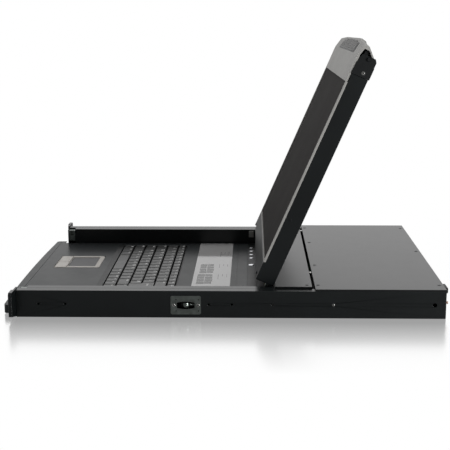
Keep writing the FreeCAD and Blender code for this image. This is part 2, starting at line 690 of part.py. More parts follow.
def ground_stud():
    shank = rod_y(STUD_X, STUD_Z, STUD_RADIUS, 304.0, PORT_END)
    nut = Part.makePolygon([V(STUD_X + 4.0 * math.cos(math.radians(60 * k)), WALL_REAR,
                              STUD_Z + 4.0 * math.sin(math.radians(60 * k))) for k in range(7)])
    nut = Part.Face(nut).extrude(V(0, 2.4, 0))
    return fused([nut, shank])


# --- electronics -----------------------------------------------------------------
def board(x0, x1, y0, y1, chips):
    pcb = box(x0, x1, y0, y1, 6.0, 7.6)
    pieces = [pcb]
    for cx, cy, half_x, half_y, height in chips:
        pieces.append(box(cx - half_x, cx + half_x, cy - half_y, cy + half_y, 7.6, 7.6 + height))
    for px in (x0 + 5.0, x1 - 5.0):
        for py in (y0 + 5.0, y1 - 5.0):
            pieces.append(rod_z(px, py, 3.0, SHEET, 6.0))
    return fused(pieces)


def main_board():
    chips = [(-140 + 60 * k, 220, 12, 12, 2.0) for k in range(4)]
    chips += [(-150 + 32 * k, 262, 5, 8, 1.8) for k in range(7)]
    return board(-205.0, 105.0, 150.0, 295.5, chips)


def display_board():
    return board(-130.0, 0.0, 84.0, 122.0, [(-90, 103, 10, 10, 2.0), (-45, 103, 8, 8, 2.0)])


def power_supply():
    case = box(112.0, 205.0, 150.0, 245.0, SHEET, 34.0)
    for k in range(9):
        y = 160.0 + 9.0 * k
        case = case.cut(box(120.0, 197.0, y, y + 4.0, 33.0, 35.0))
    return case


# --- display pieces --------------------------------------------------------------
def lcd_back_cover():
    """Shell with the blank strip under the screen, notched where the hinges stand."""
    top = CHIN - BEZEL_SILL - FIT
    shell = lcd_box(-LCD_HALF, LCD_HALF, LCD_START, BACK_END, BEZEL_THICK, LCD_THICK)
    chin = lcd_box(-LCD_HALF, LCD_HALF, LCD_START, top, 0.0, BEZEL_THICK)
    hollow = lcd_box(-LCD_HALF + LCD_SHELL, LCD_HALF - LCD_SHELL, LCD_START + LCD_SHELL,
                     BACK_END - LCD_SHELL, BEZEL_THICK - 1, LCD_THICK - LCD_SHELL)
    skirt = lcd_box(-LCD_HALF, LCD_HALF, LCD_START, top, 0.0, LCD_SHELL)
    shell = fused([shell, chin]).cut(hollow).fuse(skirt)
    notch = lcd_box(*NOTCH, LCD_START - 1.0, LCD_START + NOTCH_DEEP, -1.0, LCD_THICK + 1.0)
    slot = lcd_box(KNUCKLE[0] - 0.4, KNUCKLE[1] + 0.4, LCD_START - 1.0, 2.5, 6.5, LCD_THICK - LCD_SHELL)
    for tool in (notch, slot):
        shell = shell.cut(tool).cut(mirrored(tool))
    return lcd_placed(shell)


def lcd_bezel():
    """Narrow frame down both sides of the screen and under it."""
    frame = lcd_box(-LCD_HALF, LCD_HALF, CHIN - BEZEL_SILL, SCREEN_END, 0.0, BEZEL_THICK)
    window = lcd_box(-LCD_HALF + BEZEL_SIDE, LCD_HALF - BEZEL_SIDE, CHIN, SCREEN_END + 1,
                     -1.0, BEZEL_THICK + 1)
    return lcd_placed(frame.cut(window))


def lcd_panel():
    return lcd_placed(lcd_box(-LCD_HALF + BEZEL_SIDE + 0.2, LCD_HALF - BEZEL_SIDE - 0.2, CHIN + 0.2,
                              SCREEN_END - 0.2, SCREEN_RECESS, SCREEN_RECESS + PANEL_THICK))


def crown_cut(inset):
    """Tool that trims the handle's top line down towards both of its ends."""
    line = [(x, u - inset) for x, u in CROWN]
    line = [(-x, u) for x, u in reversed(line)] + line + [(CROWN[-1][0], 380.0), (-CROWN[-1][0], 380.0)]
    points = [V(x, u + HINGE_TO_END, lcd_w(LCD_THICK + 5.0)) for x, u in line]
    return prism(points, V(0, 0, LCD_THICK + 10.0))


def back_cut(inset):
    """Tool that slopes the handle's back edge away towards its right-hand end."""
    (x0, sum0), (x1, sum1) = BACK_SLOPE
    line = [(x0, sum0 - inset), (x1, sum1 - inset), (x1, 400.0), (x0, 400.0)]
    points = [V(x, u + 10.0 + HINGE_TO_END, lcd_w(-10.0)) for x, u in line]
    return prism(points, V(0, -60.0, -60.0))


def handle_skin():
    """The whole hollow handle, with a recess window in each end."""
    wall = HANDLE_SHELL
    outer = lcd_prism([(SCREEN_END, 0.0), (GRIP_FOOT, 0.0), (352.0, 5.0), (356.5, PARTING), (345.0, 25.0),
                       (341.0, LCD_THICK), (BACK_END, LCD_THICK), (BACK_END, wall), (SCREEN_END, wall)],
                      -LCD_HALF, LCD_HALF)
    hollow = lcd_prism([(285.0, wall), (330.6, wall), (350.6, 6.8), (353.6, PARTING), (343.8, 23.2),
                        (340.2, LCD_THICK - wall), (285.0, LCD_THICK - wall)],
                       -LCD_HALF + 2.5, LCD_HALF - 2.5)
    recess = lcd_prism([(285.0, 3.0), (334.0, 3.0), (342.5, 5.5), (342.0, 12.5), (335.0, 19.5),
                        (330.5, 24.0), (285.0, 24.0)], -LCD_HALF - 1, LCD_HALF + 1)
    slope, inner_slope = back_cut(0.0), back_cut(1.5 * wall)
    outer = outer.cut(crown_cut(0.0)).cut(slope).cut(mirrored(slope))
    hollow = hollow.cut(crown_cut(wall)).cut(inner_slope).cut(mirrored(inner_slope))
    return outer.cut(hollow).cut(recess)


def handle_front_shell():
    keep = lcd_box(-200.0, 200.0, 280.0, 370.0, -5.0, PARTING)
    return lcd_placed(handle_skin().common(keep))


def handle_back_shell():
    keep = lcd_box(-200.0, 200.0, 280.0, 370.0, PARTING + HANDLE_GAP, LCD_THICK + 5.0)
    return lcd_placed(handle_skin().common(keep))


def handle_grip():
    """Ribbed soft pad laid on the sloping front of the handle."""
    slope = math.atan2(5.0, 352.0 - GRIP_FOOT)
    short = GRIP_HALF - GRIP_TAPER
    half_plan = [(GRIP_HALF, 2.0), (short, 16.5), (50.0, 19.8)]
    plan = half_plan + [(-x, y) for x, y in reversed(half_plan)]
    pad = prism([V(x, y, 0) for x, y in plan], V(0, 0, GRIP_THICK))
    for k in range(4):
        y = 3.6 + 2.9 * k
        pad = pad.cut(box(5.0 - short, short - 5.0, y, y + 1.2, GRIP_THICK - 0.4, 2.0))
    pad.rotate(V(0, 0, 0), V(1, 0, 0), -math.degrees(slope))
    pad.translate(V(0, GRIP_FOOT + HINGE_TO_END, lcd_w(0.0)))
    return lcd_placed(pad)


def corner_bracket_right():
    """Black moulded bracket over the display's upper corner, stepped at its middle."""
    outer = LCD_HALF + BRACKET_THICK
    back = LCD_THICK + BRACKET_THICK
    lower = lcd_prism([(BRACKET_START, 1.5), (BRACKET_STEP, 2.6), (BRACKET_STEP, back),
                       (BRACKET_START, back)], LCD_HALF, outer)
    upper = lcd_prism([(BRACKET_STEP, 2.6), (BRACKET_END, 5.5), (BRACKET_END, 24.8), (331.0, back - 0.5),
                       (BRACKET_STEP, back - 0.5)], LCD_HALF, outer - 0.4)
    wrap = lcd_box(LCD_HALF - 26.0, LCD_HALF, BRACKET_START, 331.0, LCD_THICK, back - 0.5)
    bracket = fused([lower, upper, wrap])
    bracket = bracket.cut(rod_x(CATCH_U + HINGE_TO_END, lcd_w(CATCH_T), CATCH_NOSE + 0.4, 180, 195))
    return lcd_placed(bracket)


def release_catch_right():
    """Sliding catch: an inner bar, a round nose through the bracket and a finger tab."""
    bar = lcd_box(150.0, LCD_HALF - 3.2, 326.0, 335.0, 8.0, 18.6)
    nose = rod_x(CATCH_U + HINGE_TO_END, lcd_w(CATCH_T), CATCH_NOSE, LCD_HALF - 3.2, CATCH_TIP)
    tab = lcd_box(168.0, LCD_HALF - 4.0, 335.0, 340.5, 8.0, 13.2)
    return lcd_placed(fused([bar, nose, tab]))


def lcd_screws():
    screws = []
    for u, t, x in ((312.0, 17.0, LCD_HALF + BRACKET_THICK), (89.0, 10.0, LCD_HALF)):
        head = Part.makeCone(2.8, 1.8, 0.8, V(x, u + HINGE_TO_END, lcd_w(t)), V(1, 0, 0))
        screws.append(lcd_placed(head))
    screws += [mirrored(screw) for screw in screws]
    return Part.makeCompound(screws)


# --- the whole assembly ----------------------------------------------------------
def nodes():
    shapes = {
        "base_pan": base_pan(),
        "side_wall_right": side_wall_right(),
        "side_wall_left": mirrored(side_wall_right()),
        "inner_rail_right": inner_rail_right(),
        "inner_rail_left": mirrored(inner_rail_right()),
        "rack_ears": pair(rack_ear_right()),
        "rear_bumper": rear_bumper(),
        "strike_blocks": pair(strike_block_right()),
        "front_lip": front_lip(),
        "deck_plate": deck_plate(),
        "keyboard_well": keyboard_well(),
        "key_dome_sheet": key_dome_sheet(),
        "touchpad_surround": touchpad_surround(),
        "touchpad_pad": touchpad_pad(),
        "label_strip": label_strip(),
        "control_strip": control_strip(),
        "hinge_brackets": pair(hinge_bracket_right()),
        "hinge_pins": pair(hinge_pin_right()),
        "hinge_support_blocks": pair(hinge_support_right()),
        "middle_cover": middle_cover(),
        "rear_cover": rear_cover(),
        "rear_panel": rear_panel(),
        "latch_plates": pair(latch_plate_right()),
        "side_screws": side_screws(),
        "cover_screws": cover_screws(),
        "main_board": main_board(),
        "display_board": display_board(),
        "power_supply": power_supply(),
        "video_ports": Part.makeCompound([video_port(x) for x in port_positions()]),
        "console_ports": Part.makeCompound([usb_port(x) for x in USB_X]),
        "power_inlet": power_inlet(),
        "ground_stud": ground_stud(),
        "lcd_back_cover": lcd_back_cover(),
        "lcd_bezel": lcd_bezel(),
        "lcd_panel": lcd_panel(),
        "handle_front_shell": handle_front_shell(),
        "handle_back_shell": handle_back_shell(),
        "handle_grip": handle_grip(),
        "corner_brackets": pair(corner_bracket_right()),
        "hinge_arms": pair(hinge_arm_right()),
        "lcd_screws": lcd_screws(),
        "release_catch_right": release_catch_right(),
        "release_catch_left": mirrored(release_catch_right()),
        "latch_roller_right": latch_roller_right(),
        "latch_roller_left": mirrored(latch_roller_right()),
        "touch_button_left": touch_button(-1),
        "touch_button_right": touch_button(1),
        "power_rocker": power_rocker(),
        "display_power_button": strip_button(POWER_BUTTON_X, POWER_BUTTON_RADIUS),
        "space_bar": space_bar(),
    }
    for number, x in enumerate(OSD_BUTTON_X, start=1):
        shapes["osd_button_%d" % number] = strip_button(x, OSD_BUTTON_RADIUS)
    for name in ("function", "number", "upper", "home", "lower", "bottom"):
        shapes["key_row_" + name] = key_row(name)
    return shapes


def main():
    os.makedirs("parts", exist_ok=True)
    for name, shape in nodes().items():
        shape.translate(V(0, CENTRE_SHIFT, 0))
        valid = all(solid.isValid() for solid in shape.Solids)
        print(name, len(shape.Solids), "solids", "valid" if valid else "NOT VALID")
        shape.exportStep(os.path.join("parts", name + ".step"))


main()
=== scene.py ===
"""Looks of a slide-out rack console with a built-in KVM switch.

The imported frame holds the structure. This script dresses it: sheet steel, moulded
parts, keys with their legends, the folding display and the rear fittings.
"""

import json
import logging
import math
from dataclasses import dataclass, field
from enum import Enum
from typing import Any, Iterable, Optional, Sequence

import bmesh
import bpy
from mathutils import Matrix, Vector


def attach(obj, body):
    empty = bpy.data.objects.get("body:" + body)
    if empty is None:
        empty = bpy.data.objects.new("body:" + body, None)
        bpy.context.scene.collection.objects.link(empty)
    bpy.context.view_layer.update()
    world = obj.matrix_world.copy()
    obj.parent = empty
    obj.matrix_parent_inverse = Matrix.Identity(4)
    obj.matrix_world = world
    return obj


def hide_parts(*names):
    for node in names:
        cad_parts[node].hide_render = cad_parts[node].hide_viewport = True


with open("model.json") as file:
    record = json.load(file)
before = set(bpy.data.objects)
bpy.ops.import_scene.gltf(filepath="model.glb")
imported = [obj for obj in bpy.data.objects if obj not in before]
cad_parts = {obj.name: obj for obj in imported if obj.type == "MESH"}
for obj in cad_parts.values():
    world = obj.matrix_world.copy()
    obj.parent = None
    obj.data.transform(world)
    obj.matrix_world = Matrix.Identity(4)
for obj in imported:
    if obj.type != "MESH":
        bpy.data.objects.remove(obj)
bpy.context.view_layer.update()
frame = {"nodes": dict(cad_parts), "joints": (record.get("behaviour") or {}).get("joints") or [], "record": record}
log = logging.getLogger("console")

Tree = bpy.types.NodeTree
Socket = bpy.types.NodeSocket
Shape = bmesh.types.BMesh
MM = 0.001
HINGE = Vector(next(j for j in frame["joints"] if j["name"] == "display_hinge")["pos_m"])
DISPLAY_LEAN = math.radians(66.4)
CENTRE_SHIFT = -3.5        # mm, drawing zero line to the middle of the unit
HINGE_TO_END = 10.4        # mm, hinge axis to the display's bottom end
HINGE_TO_FRONT = 21.5      # mm, hinge axis to the display's front plane
UP = Vector((0, 0, 1))


class Body(Enum):
    """Names of the moving bodies that pieces ride on."""

    CHASSIS = "chassis"
    DISPLAY = "display"
    ROLLER_RIGHT = "roller_right"
    ROLLER_LEFT = "roller_left"
    TOUCH_LEFT = "touch_left"
    TOUCH_RIGHT = "touch_right"
    POWER_BUTTON = "power_button"
    SPACE_BAR = "space_bar"
    OSD_1 = "osd_1"
    OSD_2 = "osd_2"
    OSD_3 = "osd_3"
    OSD_4 = "osd_4"
    KEYS_FUNCTION = "keys_function"
    KEYS_NUMBER = "keys_number"
    KEYS_UPPER = "keys_upper"
    KEYS_HOME = "keys_home"
    KEYS_LOWER = "keys_lower"
    KEYS_BOTTOM = "keys_bottom"


class Place(Enum):
    """The two drawing frames: the chassis, and the display measured from its front."""

    CHASSIS = 0
    DISPLAY = 1

    def matrix(self) -> Matrix:
        """Return the matrix from this frame's millimetres to metres.

        The display's frame has X across, Y up from its bottom end and Z out of its front.
        """
        if self is Place.CHASSIS:
            return Matrix.Scale(MM, 4) @ Matrix.Translation((0, CENTRE_SHIFT, 0))
        start = HINGE / MM
        turn = Matrix.Rotation(DISPLAY_LEAN, 4, "X")
        inner = Matrix.Translation((0, HINGE_TO_END, HINGE_TO_FRONT))
        return Matrix.Scale(MM, 4) @ Matrix.Translation(start) @ turn @ inner


# --- colour and node helpers ---------------------------------------------------------
def linear(hex_colour: str) -> tuple[float, float, float, float]:
    """Turn an sRGB hex colour into linear RGBA.

    Args:
        hex_colour: six hex digits, such as "8c8c8a".

    Returns:
        The colour as four linear values.
    """
    channels = [int(hex_colour[i:i + 2], 16) / 255 for i in (0, 2, 4)]
    values = [c / 12.92 if c <= 0.04045 else ((c + 0.055) / 1.055) ** 2.4 for c in channels]
    return (*values, 1.0)


def add_node(tree: Tree, kind: str, values: Optional[dict[Any, Any]] = None,
             links: Optional[dict[Any, Socket]] = None,
             **settings: Any) -> bpy.types.Node:
    """Add one shader node with its settings, socket values and incoming links.

    Args:
        tree: the node tree to add to.
        kind: the node's type name without the ShaderNode prefix.
        values: default values by input socket name or index.
        links: sockets to link from, by input socket name or index.
        **settings: attributes set on the node itself.

    Returns:
        The new node.
    """
    node = tree.nodes.new("ShaderNode" + kind)
    for key, value in settings.items():
        setattr(node, key, value)
    for key, value in (values or {}).items():
        node.inputs[key].default_value = value
    for key, socket in (links or {}).items():
        tree.links.new(socket, node.inputs[key])
    return node


def ramp(tree: Tree, source: Socket,
         stops: Sequence[tuple[float, Sequence[float]]]) -> Socket:
    """Map a value to colours.

    Args:
        tree: the node tree to add to.
        source: the driving value.
        stops: pairs of position and linear colour.

    Returns:
        The colour output socket.
    """
    node = add_node(tree, "ValToRGB", links={"Fac": source})
    points = node.color_ramp.elements
    while len(points) < len(stops):
        points.new(1.0)
    for point, (position, colour) in zip(points, stops):
        point.position = position
        point.color = colour
    return node.outputs["Color"]


# --- finishes ------------------------------------------------------------------------
@dataclass(frozen=True)
class Finish:
    """A surface finish with fine grain, slow colour drift and paler edges.

    The grain is a noise bump, the drift keeps a large face from looking flat, and the
    edge tint is a painted highlight along edges, on coated steel also a coat worn thin.
    """

    name: str
    colour: str
    slot: str
    drift: str = ""
    roughness: float = 0.5
    roughness_spread: float = 0.05
    metallic: float = 0.0
    specular: float = 0.5
    grain_mm: float = 0.8
    grain_depth: float = 0.12
    drift_mm: float = 90.0
    stretch: tuple[float, float, float] = (1.0, 1.0, 1.0)
    # Paler edge colour: a painted highlight along edges, on coated steel also a coat worn thin.
    edge: str = ""
    edge_mm: float = 0.5
    edge_amount: float = 0.35

    def build(self) -> bpy.types.Material:
        """Make the material, or return it if it is already made."""
        if self.name in bpy.data.materials:
            return bpy.data.materials[self.name]
        material = bpy.data.materials.new(self.name)
        material.use_nodes = True
        tree = material.node_tree
        tree.nodes.clear()
        coordinate = add_node(tree, "TexCoord").outputs["Object"]
        place = add_node(tree, "Mapping", values={"Scale": self.stretch},
                         links={"Vector": coordinate}).outputs["Vector"]
        colour = self.base_colour(tree, place)
        shader = add_node(
            tree, "BsdfPrincipled",
            values={"Metallic": self.metallic, "Specular IOR Level": self.specular},
            links={"Base Color": self.edge_highlight_and_wear(tree, colour),
                   "Roughness": self.rough(tree, place),
                   "Normal": self.bump(tree, place)})
        add_node(tree, "OutputMaterial", links={"Surface": shader.outputs["BSDF"]})
        return material

    def base_colour(self, tree: Tree,
                    place: Socket) -> Socket:
        """Blend the colour with its drift over large soft patches."""
        noise = add_node(tree, "TexNoise", values={"Scale": 1 / (self.drift_mm * MM), "Detail": 3.0},
                         links={"Vector": place})
        return ramp(tree, noise.outputs["Fac"],
                    [(0.35, linear(self.colour)), (0.68, linear(self.drift or self.colour))])

    def edge_highlight_and_wear(self, tree: Tree,
              colour: Socket) -> Socket:
        """Paint a paler tint along edges, where a rounded normal leaves the flat one: a painted highlight, on
        coated steel also a thin coat.
        """
        if not self.edge:
            return colour
        geometry = add_node(tree, "NewGeometry")
        bevel = add_node(tree, "Bevel", values={"Radius": self.edge_mm * MM}, samples=4)
        dot = add_node(tree, "VectorMath", operation="DOT_PRODUCT",
                       links={0: geometry.outputs["Normal"], 1: bevel.outputs["Normal"]})
        mask = add_node(tree, "MapRange",
                        values={"From Min": 0.995, "From Max": 0.86, "To Max": self.edge_amount},
                        links={"Value": dot.outputs["Value"]})
        mix = add_node(tree, "Mix", data_type="RGBA", values={7: linear(self.edge)},
                       links={0: mask.outputs["Result"], 6: colour})
        return mix.outputs[2]

    def rough(self, tree: Tree,
              place: Socket) -> Socket:
        """Vary the roughness a little from patch to patch."""
        noise = add_node(tree, "TexNoise", values={"Scale": 1 / (22 * MM), "Detail": 4.0},
                         links={"Vector": place})
        spread = add_node(tree, "MapRange",
                          values={"To Min": max(0.02, self.roughness - self.roughness_spread),
                                  "To Max": self.roughness + self.roughness_spread},
                          links={"Value": noise.outputs["Fac"]})
        return spread.outputs["Result"]

    def bump(self, tree: Tree,
             place: Socket) -> Socket:
        """Give the surface its grain."""
        noise = add_node(tree, "TexNoise", values={"Scale": 1 / (self.grain_mm * MM), "Detail": 2.0},
                         links={"Vector": place})
        bump = add_node(tree, "Bump", values={"Strength": self.grain_depth, "Distance": 0.1 * MM},
                        links={"Height": noise.outputs["Fac"]})
        return bump.outputs["Normal"]


# Satin black powder coat: nearly no colour of its own, it greys where it mirrors a pale
# room at a shallow angle, with a faint orange peel.
BLACK_COAT = Finish("black_powder_coat", "0a0e0f", "black_steel", drift="0e1314", roughness=0.29,
                    roughness_spread=0.02, specular=0.5, grain_mm=1.6, grain_depth=0.05, edge="3c4446",
                    edge_mm=0.6)
# The same coat on the large covers, a little smoother.
COVER_COAT = Finish("cover_powder_coat", "0b0c0d", "grey_steel", drift="101112", roughness=0.28,
                    roughness_spread=0.012, specular=0.44, grain_mm=1.8, grain_depth=0.04, edge="4a4e4f")
# Satin sprayed deck, smooth enough to hold blurred reflections of the walls round it.
DECK_PAINT = Finish("satin_deck_paint", "323536", "grey_coated", drift="37393a", roughness=0.3,
                    specular=0.08, grain_mm=1.4, grain_depth=0.04, edge="383c3d")
# Blue zinc plate over stamped steel: cloudy, slightly green.
ZINC = Finish("blue_zinc_plate", "8b928e", "zinc_steel", drift="767c78", roughness=0.34,
              metallic=1.0, drift_mm=7.0, grain_depth=0.08)
# Yellow passivated zinc, muted and patchy, as on stamped hinge parts.
YELLOW_ZINC = Finish("yellow_zinc_plate", "c2b283", "yellow_zinc", drift="a89c86", roughness=0.4,
                     metallic=1.0, drift_mm=6.0)
# Nickel-plated turned steel.
NICKEL = Finish("nickel_plate", "c9c9c6", "bright_steel", drift="b7b7b4", roughness=0.22,
                metallic=1.0, drift_mm=6.0, grain_depth=0.05)
# Tinned connector shell.
TIN = Finish("tinned_shell", "b9bcc0", "port_shell", drift="a3a6aa", roughness=0.3, metallic=1.0,
             drift_mm=8.0, grain_depth=0.05)
# Copper-toned plated earth stud.
STUD_PLATE = Finish("copper_toned_stud", "c4a596", "brass", drift="b39284", roughness=0.38,
                    metallic=1.0, drift_mm=5.0)
# Black ABS with a spark-eroded texture.
BLACK_ABS = Finish("black_spark_abs", "101213", "black_plastic", drift="151718", roughness=0.42,
                   specular=0.25, grain_mm=0.7, grain_depth=0.15, edge="3a3f41")
# Warm grey ABS, satin moulded, as on the display's front.
GREY_ABS = Finish("grey_satin_abs", "8f8e8b", "grey_plastic", drift="949390", roughness=0.5,
                  specular=0.18, grain_mm=0.5, grain_depth=0.05, edge="bdbcb9", edge_mm=0.7)
# Silver-painted plastic.
SILVER_ABS = Finish("silver_painted_abs", "b5b0a9", "silver_plastic", drift="bdb8b1",
                    roughness=0.34, specular=0.3, grain_mm=0.4, grain_depth=0.05, edge="c8c8c5")
# Polished clear film over a silver print: sharp reflections near a wall.
LABEL_FILM = Finish("glossy_silver_film", "b3b2b2", "silver_plastic", drift="bab9b9", roughness=0.07,
                    roughness_spread=0.02, specular=0.42, grain_depth=0.0)
# Grey print under the film.
LABEL_PRINT = Finish("grey_panel_print", "2c2c2c", "silver_plastic", drift="3a3a39", roughness=0.12,
                     roughness_spread=0.02, specular=0.35, drift_mm=7.0, grain_depth=0.0)
# Fine dark ink lines.
INK = Finish("dark_line_ink", "4a4a4a", "silver_plastic", roughness=0.2, specular=0.3)
# Light grey moulding.
LIGHT_ABS = Finish("light_grey_abs", "9a9a97", "light_plastic", drift="a2a29f", roughness=0.45,
                   specular=0.2, edge="cfcfcc")
# Matt printed film of the touch pad.
PAD_FILM = Finish("matt_pad_film", "686869", "pad_plastic", drift="6e6e6f", roughness=0.5,
                  specular=0.15, grain_mm=0.5, grain_depth=0.12)
# Black keycap plastic, lightly polished by use.
KEY_ABS = Finish("black_keycap_abs", "262727", "key_plastic", drift="2b2c2c", roughness=0.36,
                 specular=0.6, grain_mm=0.6, grain_depth=0.1)
# White pad-printed key legends.
LEGEND_INK = Finish("white_legend_ink", "e8e8e6", "key_plastic", roughness=0.5, specular=0.2)
# Bright chromed push buttons.
CHROME = Finish("bright_chrome", "e3e4e8", "chrome_button", drift="d6d7dd", roughness=0.1,
                roughness_spread=0.04, metallic=1.0, grain_depth=0.02)
# Silicone dome sheet under the keys.
SILICONE = Finish("silicone_dome_sheet", "2c2c2c", "dome_rubber", roughness=0.6, specular=0.2)
# Ribbed soft moulding of the grip.
GRIP_RUBBER = Finish("soft_grip_moulding", "757473", "grip_rubber", drift="7c7b7a", roughness=0.62,
                     specular=0.12, grain_mm=0.5, edge="8f8f8d")
# Green solder mask.
SOLDER_MASK = Finish("green_solder_mask", "1f5a38", "circuit_board", drift="2b6a44", roughness=0.3)
# Anti-glare film over the display: matt, so a pale room hardly shows in it.
SCREEN_FILM = Finish("antiglare_screen_film", "2b2928", "screen", drift="302e2d", roughness=0.72,
                     roughness_spread=0.03, specular=0.04, grain_mm=0.4, grain_depth=0.04)
FINISHES = [BLACK_COAT, COVER_COAT, DECK_PAINT, ZINC, YELLOW_ZINC, NICKEL, TIN, STUD_PLATE, BLACK_ABS,
            GREY_ABS, SILVER_ABS, LIGHT_ABS, PAD_FILM, KEY_ABS, CHROME, SILICONE, GRIP_RUBBER,
            SOLDER_MASK, SCREEN_FILM]


# --- shapes --------------------------------------------------------------------------
def block(low: Sequence[float], high: Sequence[float], bevel: float = 0.3, segments: int = 2,
          taper: Sequence[float] = (0.0, 0.0)) -> Shape:
    """Make a box with softened edges.

    Args:
        low: its lowest corner in millimetres.
        high: its highest corner.
        bevel: the width of the softened edges.
        segments: how many facets the softened edges have.
        taper: how far the top's sides stand in from the bottom's, across and along.

    Returns:
        The box.
    """
    shape = bmesh.new()
    low, high = Vector(low), Vector(high)
    size = high - low
    bmesh.ops.create_cube(shape, size=1.0, matrix=Matrix.LocRotScale((low + high) / 2, None, size))
    middle = (low + high) / 2
    for vertex in shape.verts:
        if vertex.co.z > middle.z:
            vertex.co.x += math.copysign(taper[0], middle.x - vertex.co.x)
            vertex.co.y += math.copysign(taper[1], middle.y - vertex.co.y)
    if bevel:
        bmesh.ops.bevel(shape, geom=shape.edges[:], offset=bevel, segments=segments,
                        affect="EDGES", profile=0.5, material=-1)
    return shape


def turned(profile: Sequence[tuple[float, float]], place: Sequence[float], axis: Vector,
           sides: int = 24) -> Shape:
    """Turn a profile about an axis.

    Args:
        profile: (radius, height) points from the foot to the tip.
        place: where the axis starts, in millimetres.
        axis: the direction the heights grow in.
        sides: how many facets go round.

    Returns:
        The turned shape.
    """
    shape = bmesh.new()
    points = [shape.verts.new((radius, 0.0, height)) for radius, height in profile]
    edges = [shape.edges.new(ends) for ends in zip(points, points[1:])]
    bmesh.ops.spin(shape, geom=points + edges, cent=(0, 0, 0), axis=(0, 0, 1),
                   angle=2 * math.pi, steps=sides, use_merge=True, use_duplicate=False)
    bmesh.ops.remove_doubles(shape, verts=shape.verts[:], dist=1e-5)
    bmesh.ops.recalc_face_normals(shape, faces=shape.faces[:])
    for face in shape.faces:
        face.smooth = abs(face.normal.z) < 0.97
    turn = UP.rotation_difference(axis).to_matrix().to_4x4()
    bmesh.ops.transform(shape, matrix=Matrix.Translation(place) @ turn, verts=shape.verts[:])
    return shape


def rod(place: Sequence[float], axis: Vector, radius: float, length: float, soft: float = 0.2,
        sides: int = 20) -> Shape:
    """Make a round rod with softened rims.

    Args:
        place: the middle of its foot, in millimetres.
        axis: the direction it runs in.
        radius: its radius.
        length: its length.
        soft: the width of the softened rims.
        sides: how many facets go round.

    Returns:
        The rod.
    """
    profile = [(0.0, 0.0), (radius - soft, 0.0), (radius, soft), (radius, length - soft),
               (radius - soft, length), (0.0, length)]
    return turned(profile, place, axis, sides)


def plate(outline: Sequence[tuple[float, float]], low: float, high: float, bevel: float = 0.0,
          segments: int = 2) -> Shape:
    """Raise a flat outline into a plate.

    Args:
        outline: (x, y) corners, counter-clockwise.
        low: the plate's underside.
        high: its top.
        bevel: the width of its softened top and bottom rims.
        segments: how many facets the rims have.

    Returns:
        The plate.
    """
    shape = bmesh.new()
    face = shape.faces.new([shape.verts.new((x, y, low)) for x, y in outline])
    raised = bmesh.ops.extrude_face_region(shape, geom=[face])
    verts = [item for item in raised["geom"] if isinstance(item, bmesh.types.BMVert)]
    bmesh.ops.translate(shape, vec=(0, 0, high - low), verts=verts)
    bmesh.ops.recalc_face_normals(shape, faces=shape.faces[:])
    if bevel:
        rims = [edge for edge in shape.edges
                if abs(edge.verts[0].co.z - edge.verts[1].co.z) < 1e-4]
        bmesh.ops.bevel(shape, geom=rims, offset=bevel, segments=segments, affect="EDGES",
                        profile=0.5, material=-1)
    return shape


def rounded_outline(low: Sequence[float], high: Sequence[float], radius: float,
                    steps: int = 5) -> list[tuple[float, float]]:
    """List the corners of a rectangle with rounded corners, counter-clockwise.

    Args:
        low: its left front corner.
        high: its right rear corner.
        radius: the corner radius.
        steps: how many points go round each corner.

    Returns:
        The (x, y) points.
    """
    centres = [(high[0] - radius, high[1] - radius), (low[0] + radius, high[1] - radius),
               (low[0] + radius, low[1] + radius), (high[0] - radius, low[1] + radius)]
    points = []
    for quarter, (x, y) in enumerate(centres):
        for step in range(steps):
            angle = math.pi / 2 * (quarter + step / (steps - 1))
            points.append((x + radius * math.cos(angle), y + radius * math.sin(angle)))
    return points


def lettering(text: str, size: float, place: Sequence[float]) -> Shape:
    """Make flat letters that face up.

    Args:
        text: the letters.
        size: their height in millimetres.
        place: the left end of their foot line.

    Returns:
        The letters.
    """
    curve = bpy.data.curves.new("letters", "FONT")
    curve.body = text
    curve.size = size
    curve.resolution_u = 2
    curve.offset = size * 0.03
    holder = bpy.data.objects.new("letters", curve)
    mesh = bpy.data.meshes.new_from_object(holder)
    shape = bmesh.new()
    shape.from_mesh(mesh)
    bmesh.ops.translate(shape, vec=place, verts=shape.verts[:])
    bpy.data.objects.remove(holder)
    bpy.data.curves.remove(curve)
    bpy.data.meshes.remove(mesh)
    return shape


class Piece:
    """Gathers shapes in millimetres into one object with one or more finishes."""

    def __init__(self, *finishes: Finish) -> None:
        """Start an empty piece."""
        self.finishes = finishes
        self.shape = bmesh.new()
        self.scratch = bpy.data.meshes.new("scratch")

    def add(self, shape: Shape, finish: int = 0) -> None:
        """Add a shape in one of the piece's finishes."""
        for face in shape.faces:
            face.material_index = finish
        shape.to_mesh(self.scratch)
        shape.free()
        self.shape.from_mesh(self.scratch)

    def finish(self, name: str, body: Body = Body.CHASSIS, place: Place = Place.CHASSIS,
               replaces: Iterable[str] = ()) -> bpy.types.Object:
        """Turn the gathered shapes into an object of the scene.

        Args:
            name: the piece's name.
            body: the body it rides on.
            place: the frame its millimetres are measured in.
            replaces: the CAD nodes it stands for.

        Returns:
            The object.
        """
        bmesh.ops.transform(self.shape, matrix=place.matrix(), verts=self.shape.verts[:])
        mesh = bpy.data.meshes.new(name)
        self.shape.to_mesh(mesh)
        self.shape.free()
        bpy.data.meshes.remove(self.scratch)
        for finish in self.finishes:
            mesh.materials.append(finish.build())
        piece = bpy.data.objects.new(name, mesh)
        bpy.context.scene.collection.objects.link(piece)
        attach(piece, body.value)
        if replaces:
            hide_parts(*replaces)
        log.info("%s: %d faces", name, len(mesh.polygons))
        return piece


